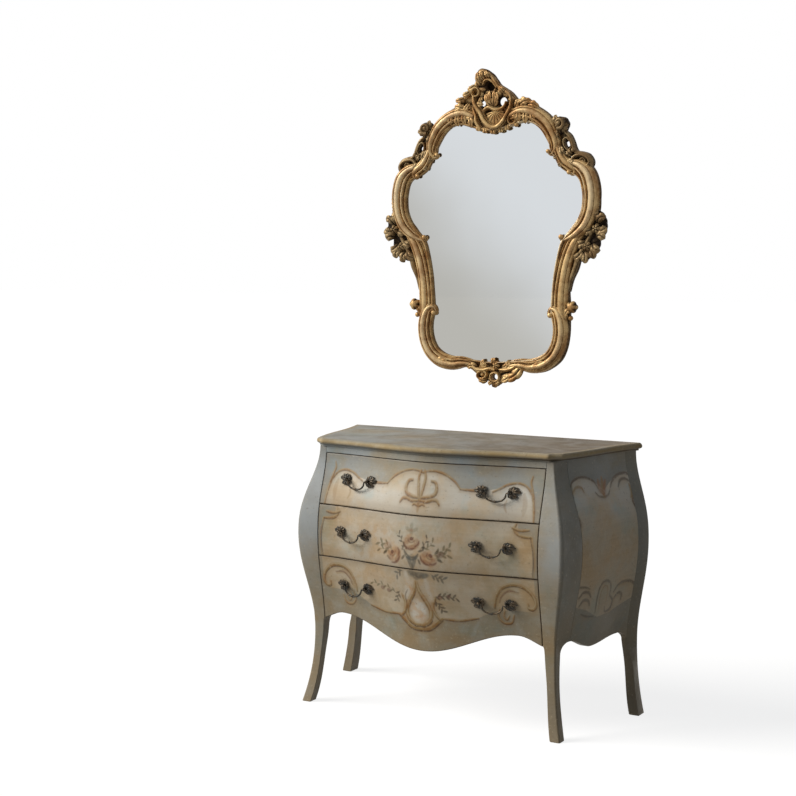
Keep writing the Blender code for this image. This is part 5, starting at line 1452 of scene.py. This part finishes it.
def build_crest():
    """Two pierced plates and a tip plate with a deep hollow, one long strap round a shell and on past an
    opening, a palmette at the middle, husks along the left slope, and a ridge up to a leafy tip that
    leans left."""
    piece = Piece(on_wall)
    rocaille(piece, ((-0.141, 2.024), (-0.134, 2.04), (-0.108, 2.056), (-0.09, 2.076), (-0.068, 2.096),
                     (-0.04, 2.086), (-0.014, 2.062), (-0.01, 2.03), (-0.018, 2.002), (-0.044, 1.984),
                     (-0.078, 1.978), (-0.106, 1.992), (-0.13, 2.006)),
             (-0.04, 2.025), 0.01, (0.006, 0.022), 7)
    rocaille(piece, ((-0.004, 2.056), (0.012, 2.072), (0.026, 2.079), (0.054, 2.066), (0.074, 2.052),
                     (0.09, 2.036), (0.116, 2.034), (0.104, 2.0), (0.074, 1.984), (0.044, 1.978),
                     (0.016, 1.984), (0.0, 2.004), (-0.006, 2.034)),
             (0.036, 2.029), 0.015, (0.006, 0.022), 6)
    rocaille(piece, ((-0.067, 2.084), (-0.067, 2.112), (-0.0645, 2.128), (-0.056, 2.138), (-0.042, 2.1425),
                     (-0.022, 2.137), (-0.004, 2.124), (0.01, 2.108), (0.02, 2.086), (0.012, 2.062),
                     (-0.014, 2.056), (-0.046, 2.062), (-0.064, 2.072)),
             (-0.006, 2.082), 0.015, (0.01, 0.027), 9, wash_and_shade=0.4)
    for x, z, radius in ((-0.006, 2.082, 0.019), (0.078, 1.968, 0.012), (-0.0625, 2.064, 0.011)):
        dark_eye(piece, (x, z), radius, (0.005, 0.008))
    rocaille(piece, ((-0.06, 2.006), (-0.064, 1.975), (-0.05, 1.946), (-0.024, 1.93), (0.004, 1.925),
                     (0.032, 1.929), (0.056, 1.946), (0.07, 1.974), (0.068, 2.006), (0.034, 2.014),
                     (-0.026, 2.014)), (0.006, 1.99), 0, (0.012, 0.022), 10, wash_and_shade=0.55)
    rocaille(piece, ((-0.02, 1.99), (-0.018, 1.97), (-0.006, 1.956), (0.01, 1.951), (0.026, 1.956),
                     (0.038, 1.97), (0.046, 1.99), (0.032, 2.002), (0.01, 1.998)),
             (0.016, 1.996), 0, (0.024, 0.035), 17, wash_and_shade=0.0)
    for points, relief, reeds in (
        (((-0.068, 2.05, 0.007), (-0.061, 2.022, 0.01), (-0.04, 1.994, 0.0115), (-0.024, 1.966, 0.012),
          (-0.002, 1.946, 0.012), (0.022, 1.944, 0.011), (0.043, 1.96, 0.01), (0.058, 1.983, 0.009),
          (0.071, 2.006, 0.008), (0.075, 2.03, 0.007), (0.069, 2.05, 0.006), (0.054, 2.063, 0.004)),
         (0.02, 0.047), 2),
        (((-0.074, 2.014, 0.005), (-0.062, 1.988, 0.008), (-0.057, 1.962, 0.0095), (-0.042, 1.94, 0.008)),
         (0.016, 0.038), 1),
        (((-0.031, 1.99, 0.004), (-0.027, 2.003, 0.006), (-0.01, 2.011, 0.007), (0.012, 2.003, 0.007),
          (0.03, 2.003, 0.006), (0.046, 2.012, 0.005), (0.054, 2.028, 0.004)), (0.02, 0.04), 1),
        (((0.07, 1.984, 0.004), (0.077, 2.001, 0.006), (0.092, 1.998, 0.005)), (0.016, 0.034), 0),
        (((-0.061, 2.094, 0.005), (-0.06, 2.116, 0.006), (-0.048, 2.132, 0.006), (-0.024, 2.128, 0.006),
          (-0.005, 2.115, 0.007), (0.009, 2.097, 0.008), (0.022, 2.079, 0.009), (0.043, 2.066, 0.009),
          (0.064, 2.052, 0.009), (0.084, 2.032, 0.008)), (0.01, 0.031), 1),
        (((-0.034, 2.088, 0.004), (-0.028, 2.1, 0.005), (-0.014, 2.104, 0.005), (0.004, 2.094, 0.005),
          (0.018, 2.076, 0.005)), (0.012, 0.035), 0),
        (((-0.132, 2.01, 0.008), (-0.124, 2.032, 0.009), (-0.103, 2.047, 0.009), (-0.086, 2.067, 0.009),
          (-0.066, 2.084, 0.009), (-0.06, 2.104, 0.006)), (0.01, 0.03), 1),
        (oval((-0.0625, 2.064), (0.0145, 0.0145), 0, 0.0042), (0.01, 0.036), 0),
        (oval((0.078, 1.968), (0.0145, 0.0165), 0, 0.0045), (0.01, 0.037), 0),
    ):
        scroll(piece, points, relief, reeds, 120)
    for base, tip, width, bend, lobes in (
        ((0.006, 2.012), (-0.024, 2.054), 0.0085, 0.12, 2),
        ((0.006, 2.012), (-0.008, 2.066), 0.0085, 0.06, 2),
        ((0.007, 2.012), (0.009, 2.067), 0.0085, -0.06, 2),
        ((0.008, 2.012), (0.022, 2.056), 0.008, -0.12, 2), ((-0.064, 2.006), (-0.03, 2.022), 0.01, 0.15, 3),
        ((-0.04, 2.05), (-0.046, 2.026), 0.008, 0.1, 2), ((-0.04, 2.088), (-0.056, 2.13), 0.0085, 0.1, 3),
        ((-0.03, 2.1), (-0.042, 2.138), 0.0085, 0.05, 3),
        ((-0.014, 2.106), (-0.024, 2.133), 0.0085, -0.05, 3),
        ((-0.062, 2.09), (-0.092, 2.072), 0.01, 0.1, 3), ((-0.084, 2.068), (-0.111, 2.054), 0.01, 0.1, 3),
        ((-0.102, 2.046), (-0.138, 2.038), 0.011, 0.1, 3), ((-0.1, 2.006), (-0.142, 2.016), 0.013, -0.1, 3),
        ((-0.088, 2.03), (-0.106, 2.002), 0.01, 0.1, 3), ((0.098, 2.01), (0.15, 2.028), 0.014, 0.1, 3),
        ((0.128, 2.016), (0.18, 2.004), 0.013, 0.1, 3), ((0.086, 2.004), (0.102, 2.034), 0.011, -0.1, 2),
        ((0.066, 1.99), (0.104, 1.99), 0.012, -0.2, 3), ((-0.072, 1.994), (-0.1, 1.984), 0.012, 0.2, 3),
        ((-0.088, 1.992), (-0.078, 1.944), 0.012, 0.1, 3), ((0.05, 2.054), (0.026, 2.076), 0.009, -0.1, 3),
    ):
        leaf(piece, base, tip, width, bend, (0.025, 0.031), 0.006, lobes)
    for x, lift in ((-0.046, 0.012), (-0.022, 0.004), (0.006, 0.0), (0.034, 0.004), (0.056, 0.012)):
        leaf(piece, (x, 1.942 + lift), (1.1 * x, 1.92 + lift), 0.012, 0.0, (0.024, 0.03), 0.004, 2)
    for x, z, radius, depth in ((0.117, 2.034, 0.0085, 0.026), (0.093, 1.949, 0.0085, 0.028)):
        knob(piece, (x, z), radius, depth)
    piece.make("gilt_crest", GILDING, "mirror", ["mirror_crest"], sharp=60)


def build_shoulders():
    """Scrolls that climb from the side lobe to the top arc: a large oval with a dark eye, a pierced
    narrow plate, a curled bud that stands proud of the frame."""
    for side, sign in SIDES:
        piece = Piece(on_wall)
        rocaille(piece, ((0.358, 1.792), (0.366, 1.815), (0.354, 1.838), (0.332, 1.848), (0.308, 1.851),
                         (0.29, 1.832), (0.298, 1.808), (0.322, 1.798), (0.344, 1.788)), (0.324, 1.822),
                 0.011, (0.008, 0.018), 11, sign, 0.6)
        dark_eye(piece, (0.324, 1.822), 0.014, (0.004, 0.006), sign)
        rocaille(piece, ((0.304, 1.846), (0.302, 1.866), (0.294, 1.888), (0.284, 1.906), (0.266, 1.92),
                         (0.244, 1.914), (0.246, 1.888), (0.256, 1.862), (0.28, 1.84)), (0.277, 1.88),
                 0.009, (0.006, 0.016), 9, sign, 0.45)
        rocaille(piece, ((0.226, 1.936), (0.234, 1.958), (0.25, 1.97), (0.268, 1.966), (0.28, 1.948),
                         (0.274, 1.926), (0.254, 1.912)), (0.252, 1.944), 0, (0.016, 0.034), 7, sign, 0.3)
        for points, relief, reeds in (
            (oval((0.33, 1.823), (0.031, 0.019), -0.2, 0.0065), (0.012, 0.034), 1),
            (oval((0.279, 1.88), (0.021, 0.0125), 1.95, 0.0048), (0.01, 0.028), 1),
            (((0.36, 1.798, 0.006), (0.365, 1.818, 0.008), (0.353, 1.838, 0.008), (0.332, 1.846, 0.008),
              (0.312, 1.85, 0.008), (0.302, 1.864, 0.008), (0.295, 1.886, 0.007), (0.284, 1.906, 0.007),
              (0.268, 1.92, 0.006)), (0.01, 0.029), 1),
        ):
            scroll(piece, points, relief, reeds, 80, sign)
        curl(piece, (0.254, 1.948), 0.0185, -1.9, 1.15, 0.007, 0.045, sign)
        curl(piece, (0.336, 1.822), 0.011, 2.6, -1.1, 0.004, 0.028, sign)
        for base, tip, width, bend in (
            ((0.252, 1.95), (0.241, 1.976), 0.011, 0.2), ((0.258, 1.944), (0.286, 1.942), 0.011, -0.2),
            ((0.252, 1.884), (0.242, 1.928), 0.011, 0.1), ((0.28, 1.838), (0.26, 1.872), 0.012, 0.15),
            ((0.318, 1.802), (0.288, 1.83), 0.013, 0.1), ((0.356, 1.796), (0.328, 1.798), 0.011, 0.1),
            ((0.3, 1.842), (0.284, 1.858), 0.011, 0.1), ((0.25, 1.846), (0.232, 1.836), 0.01, 0.1),
            ((0.266, 1.824), (0.25, 1.808), 0.01, 0.1),
        ):
            leaf(piece, base, tip, width, bend, (0.024, 0.031), 0.006, 3, sign=sign)
        for x, z, radius in ((0.274, 1.93, 0.0075), (0.302, 1.858, 0.007), (0.254, 1.868, 0.0065)):
            knob(piece, (x, z), radius, 0.028, sign)
        node = f"mirror_{side}_shoulder"
        piece.make(f"gilt_{side}_shoulder", SHADED_GILDING, "mirror", [node], sharp=60)


def build_sprays():
    """Blossoms and broad leaves that hang outside the side lobes, on fluted plates, with a tail along the
    stem."""
    for side, sign in SIDES:
        piece = Piece(on_wall)
        rocaille(piece, ((0.3, 1.504), (0.33, 1.49), (0.364, 1.506), (0.388, 1.53), (0.396, 1.562),
                         (0.376, 1.592), (0.342, 1.594), (0.316, 1.564), (0.302, 1.532)), (0.352, 1.544),
                 0.007, (0.008, 0.018), 11, sign, 0.7)
        rocaille(piece, ((0.352, 1.588), (0.38, 1.562), (0.411, 1.578), (0.419, 1.61), (0.412, 1.64),
                         (0.392, 1.66), (0.372, 1.658), (0.358, 1.626)),
                 (0.388, 1.608), 0, (0.008, 0.018), 11, sign, 0.7)
        scroll(piece, ((0.372, 1.596, 0.006), (0.348, 1.55, 0.008), (0.322, 1.508, 0.01),
                       (0.31, 1.47, 0.01), (0.294, 1.432, 0.008), (0.285, 1.392, 0.006)),
               (0.01, 0.028), 1, 70, sign)
        for base, tip, width, bend in (
            ((0.382, 1.62), (0.392, 1.664), 0.015, 0.2), ((0.388, 1.616), (0.421, 1.64), 0.014, 0.2),
            ((0.39, 1.596), (0.423, 1.604), 0.015, -0.2), ((0.384, 1.574), (0.418, 1.566), 0.015, 0.2),
            ((0.372, 1.552), (0.402, 1.528), 0.015, -0.2), ((0.358, 1.534), (0.378, 1.5), 0.015, 0.2),
            ((0.34, 1.524), (0.344, 1.486), 0.014, 0.2), ((0.334, 1.53), (0.306, 1.5), 0.015, 0.2),
            ((0.35, 1.56), (0.32, 1.546), 0.014, 0.1), ((0.374, 1.6), (0.346, 1.59), 0.014, 0.1),
            ((0.374, 1.63), (0.366, 1.66), 0.012, -0.1),
        ):
            leaf(piece, base, tip, 1.15 * width, bend, (0.016, 0.024), 0.008, 2, sign=sign)
        for centre, radius in (((0.386, 1.6), 0.018), ((0.356, 1.54), 0.017)):
            flower(piece, centre, radius, 5, 0.026, sign)
        node = f"mirror_{side}_spray"
        piece.make(f"gilt_{side}_spray", SHADED_GILDING, "mirror", [node], sharp=60)


def build_foot_ornament():
    """A shell plate pierced at its middle, curls and a blossom above, a broad leaf to the right, a
    hanging tip."""
    piece = Piece(on_wall)
    rocaille(piece, ((-0.086, 1.124), (-0.064, 1.106), (-0.036, 1.09), (-0.01, 1.078), (0.008, 1.061),
                     (0.028, 1.068), (0.046, 1.084), (0.074, 1.094), (0.1, 1.112), (0.116, 1.13),
                     (0.084, 1.146), (0.044, 1.154), (0.008, 1.157), (-0.03, 1.152), (-0.062, 1.142)),
             (0.012, 1.0955), 0.012, (0.008, 0.022), 9)
    for points, relief in (
        (oval((0.016, 1.0955), (0.0165, 0.015), 0, 0.005), (0.01, 0.034)),
        (oval((-0.034, 1.1015), (0.0185, 0.0135), 0.3, 0.005), (0.01, 0.034)),
        (((-0.074, 1.14, 0.006), (-0.058, 1.122, 0.008), (-0.03, 1.118, 0.008), (-0.004, 1.124, 0.007),
          (0.016, 1.12, 0.006)), (0.012, 0.036)),
        (((0.11, 1.146, 0.006), (0.086, 1.13, 0.008), (0.06, 1.122, 0.008), (0.034, 1.122, 0.006)),
         (0.012, 0.036)),
    ):
        scroll(piece, points, relief, 0, 64)
    for base, tip, width, bend in (
        ((0.12, 1.142), (0.056, 1.086), 0.019, 0.14), ((0.084, 1.116), (0.04, 1.082), 0.013, 0.14),
        ((-0.05, 1.128), (-0.092, 1.126), 0.013, -0.1), ((-0.012, 1.086), (-0.046, 1.09), 0.01, 0.2),
        ((0.006, 1.084), (-0.008, 1.07), 0.009, 0.1), ((0.022, 1.084), (0.036, 1.072), 0.009, -0.1),
        ((-0.006, 1.13), (-0.034, 1.152), 0.011, 0.2), ((0.04, 1.13), (0.072, 1.152), 0.011, -0.2),
        ((0.012, 1.136), (0.012, 1.162), 0.011, 0.0),
    ):
        leaf(piece, base, tip, width, bend, (0.022, 0.028), 0.006, 2)
    leaf(piece, (0.014, 1.086), (0.014, 1.058), 0.013, 0.0, (0.02, 0.018), 0.005, 2)
    curl(piece, (-0.024, 1.138), 0.0135, 1.6, 1.1, 0.0048, 0.034)
    curl(piece, (0.066, 1.138), 0.0135, 1.6, -1.1, 0.0048, 0.034)
    knob(piece, (-0.034, 1.1015), 0.0065, 0.024)
    flower(piece, (0.022, 1.135), 0.014, 5, 0.032)
    piece.make("gilt_foot_ornament", GILDING, "mirror", ["mirror_foot_ornament"], sharp=60)


# Leaves of a rosette: angle from its outer side, length and half width
ROSETTE_LEAVES = (
    (0.1, 0.033, 0.0085), (0.55, 0.028, 0.0075), (-0.45, 0.027, 0.0075), (1.1, 0.0215, 0.007),
    (-1.05, 0.02, 0.007), (1.8, 0.017, 0.006), (-1.8, 0.016, 0.006), (2.6, 0.012, 0.005),
    (-2.6, 0.012, 0.005),
)

# Turned post of a rosette: distance from the drawer front, radius
POST_PROFILE = ((0.0006, 0.0078), (0.003, 0.008), (0.0052, 0.0066), (0.0066, 0.0046),
                (0.009, 0.0038), (0.013, 0.0036))


def pull_ends(x):
    """Where the two ball posts stand, along the drawer front, about a pull centred on x."""
    step = GRID_STEP
    slope = (plan_y(x + step) - plan_y(x - step)) / (2 * step)
    half_run = PULL_SPAN / 2 * math.cos(math.atan(slope))
    return x - half_run, x + half_run


def build_rosette(name, node, body, x0, z0, outer):
    """A spray of leaves that opens away from the bail, laid on the drawer front, with a turned post and
    ball."""
    def on_front(points):
        x = x0 + points[:, 0]
        z = z0 + points[:, 1]
        return np.stack([x, front_y(x, z) - points[:, 2], z], -1)

    def straight_out(points):
        return np.stack([x0 + points[:, 0], front_y(x0, z0) - points[:, 2], z0 + points[:, 1]], -1)

    piece = Piece(on_front)
    for angle, length, width in ROSETTE_LEAVES:
        tip = (outer * length * math.cos(angle), length * math.sin(angle) - 0.0015)
        bend = 0.12 * outer * np.sign(angle)
        leaf(piece, (outer * 0.002, 0.0), tip, width, bend, (0.0042, 0.0022), 0.0034, 3, 0.0026)
    b = angles(20)[None, :]
    neck = math.asin(POST_NECK_RADIUS / BALL_RADIUS)
    ball_angle = np.linspace(neck, math.radians(172), 14)
    ball = np.stack([PIVOT_STANDOFF - BALL_RADIUS * np.cos(ball_angle), BALL_RADIUS * np.sin(ball_angle)],
                    -1)
    turned = np.vstack([POST_PROFILE, ball])
    rings = np.stack([turned[:, 1:] * np.cos(b), turned[:, 1:] * np.sin(b), turned[:, :1] + 0 * b], -1)
    piece.lay = straight_out
    # Dark patina and painted shade round the neck of the turned post
    piece.tube(rings, hollow=0.8 * bump_at(turned[:, :1], 0.0075, 0.003) + 0 * b)
    piece.make(name, BRONZE, body, [node], sharp=50)


def build_bail(name, node, body, ends, z0):
    """A swan-neck bail: pins through both balls, and a hanging sweep, flat behind, that thickens to a
    knop at its middle."""
    balls = [np.array([end, front_y(end, z0) - PIVOT_STANDOFF, z0]) for end in ends]
    chord = balls[1] - balls[0]
    half = np.linalg.norm(chord) / 2
    along = chord / (2 * half)
    reach = half - BAIL_SHOULDER
    tip = half + BALL_RADIUS + BAIL_PIN_END
    angle = np.linspace(0, np.pi, 61)
    sweep = np.stack([-reach * np.cos(angle), -BAIL_DROP * np.sin(angle) ** BAIL_FULLNESS], -1)
    pin = np.linspace(-tip, -reach - 2 * SEAT, 8)
    path = np.vstack([np.stack([pin, 0 * pin], -1), sweep[1:-1], np.stack([-pin[::-1], 0 * pin], -1)])
    path = spline(path[::2], 120)
    bend = across(path)
    x = path[:, 0]
    thick = BAIL_RADIUS * (PIN_SHARE + SWEEP_SHARE * ease(-path[:, 1] / SWEEP_GAIN_DROP))
    collars = bump_at(x, COLLAR_X, COLLAR_WIDTH) + bump_at(x, -COLLAR_X, COLLAR_WIDTH)
    thick = thick + KNOP_RISE * bump_at(x, 0, KNOP_WIDTH) + COLLAR_RISE * collars
    thick = thick * np.where(np.abs(x) > half + BALL_RADIUS + SEAT, PIN_HEAD_SHARE, 1.0)
    thick = thick[:, None]
    b = angles(12)[None, :]
    flat = x[:, None] + thick * np.cos(b) * bend[:, :1]
    rise = path[:, 1:2] + thick * np.cos(b) * bend[:, 1:2]
    middle = (balls[0] + balls[1]) / 2
    square = np.array([-along[1], along[0], 0.0])
    behind = np.where(np.sin(b) > 0, np.minimum(thick, BAIL_RADIUS), thick) * np.sin(b)
    rings = middle + flat[..., None] * along + behind[..., None] * square + rise[..., None] * (0, 0, 1.0)
    piece = Piece()
    # Dark patina and painted shade in the grooves beside the knop
    piece.tube(rings, hollow=0.7 * bump_at(np.abs(x), 0.0035, 0.001)[:, None] + 0 * b)
    piece.make(name, BRONZE, body, [node], sharp=60)


def build_pulls():
    """Two rosettes and a bail for each pull, two pulls on each drawer."""
    for label, z0 in PULL_HEIGHTS.items():
        for side, sign in SIDES:
            ends = pull_ends(sign * PULL_X)
            stem = f"{label}_drawer_{side}_pull"
            for (end, outer), x0 in zip(SIDES, ends):
                name = f"{label}_{side}_pull_{end}_leaves"
                build_rosette(name, f"{stem}_{end}_rosette", f"{label}_drawer", x0, z0, outer)
            build_bail(f"{label}_{side}_swan_bail", f"{stem}_bail", f"{label}_{side}_bail", ends, z0)


def dress_solids():
    """Solids that stay as they are get their finishes: paint in front, bare wood inside and behind,
    glass, iron."""
    plain = {"top_rail": PAINT, "mirror_glass": silvered_glass("silvered_glass"),
             "mirror_hanger_plate": hanger_iron("hanger_iron"), "mirror_backboard": WOOD_UP,
             "back_panel": WOOD_ACROSS,
             "bottom_panel": WOOD_ACROSS}
    for name, node in NODES.items():
        finish = plain.get(name)
        if not finish and ("runner" in name or name.endswith("_side")):
            finish = WOOD_DEEP
        if not finish and ("divider" in name or "drawer_back" in name or "drawer_bottom" in name):
            finish = WOOD_ACROSS
        if finish:
            node.data.materials.clear()
            node.data.materials.append(finish)


def build_stage():
    """A wide white floor, a soft lamp from the front left, and a pale sky all round."""
    corners = [(x * FLOOR_REACH, y * FLOOR_REACH, 0) for x, y in ((-1, -1), (1, -1), (1, 1), (-1, 1))]
    mesh = bpy.data.meshes.new("pale_floor")
    mesh.from_pydata(corners, [], [(0, 1, 2, 3)])
    floor = bpy.data.objects.new("pale_floor", mesh)
    bpy.context.scene.collection.objects.link(floor)
    f = Finish("pale_floor")
    tone = f.grey(f.noise(0.7, 2.0), 0.29, 0.31)
    mesh.materials.append(f.done(Base_Color=tone, Roughness=0.9, Specular_IOR_Level=0.0))
    rays = f.node("ShaderNodeLightPath", {}).outputs
    seen = f.combine(rays["Is Camera Ray"], rays["Is Glossy Ray"], "MAXIMUM")
    f.done(Emission_Color=WHITE, Emission_Strength=f.combine(seen, FLOOR_GLOW, "MULTIPLY"))

    world = bpy.data.worlds.new("studio")
    bpy.context.scene.world = world
    world.use_nodes = True
    sky = Mixture(world.node_tree)
    rays = sky.node("ShaderNodeLightPath", {}).outputs
    seen = sky.combine(rays["Is Camera Ray"], rays["Is Glossy Ray"], "MAXIMUM")
    seen = sky.combine(seen, rays["Is Transmission Ray"], "MAXIMUM")
    sky.put(sky.tree.nodes["Background"].inputs["Color"], sky.blend(seen, SKY_LIGHT, WHITE))

    lamp = bpy.data.lights.new("soft_window", "SUN")
    lamp.energy = LAMP_STRENGTH
    lamp.angle = math.radians(LAMP_SPREAD)
    lamp.color = LAMP_COLOUR
    holder = bpy.data.objects.new("soft_window", lamp)
    bpy.context.scene.collection.objects.link(holder)
    holder.rotation_euler = (math.radians(LAMP_TILT), 0, math.radians(LAMP_TURN))


def build_camera():
    """The eye of the photograph: a long lens to the right of the chest, a little below the mirror's
    middle."""
    data = bpy.data.cameras.new("eye")
    data.sensor_width = SENSOR_WIDTH
    data.lens = SENSOR_WIDTH * LENS_PIXELS / FRAME_PIXELS
    eye = bpy.data.objects.new("eye", data)
    bpy.context.scene.collection.objects.link(eye)
    eye.location = (EYE_RIGHT, BACK_EDGE - EYE_FORWARD, EYE_HEIGHT)
    eye.rotation_euler = (math.pi / 2 - math.radians(EYE_TILT), 0, math.radians(EYE_TURN))
    bpy.context.scene.camera = eye


bpy.context.scene.view_settings.view_transform = "Standard"
build_drawer_fronts()
build_side_panels()
build_posts()
build_top()
build_pulls()
build_frame()
build_crest()
build_shoulders()
build_sprays()
build_foot_ornament()
dress_solids()
build_stage()
build_camera()
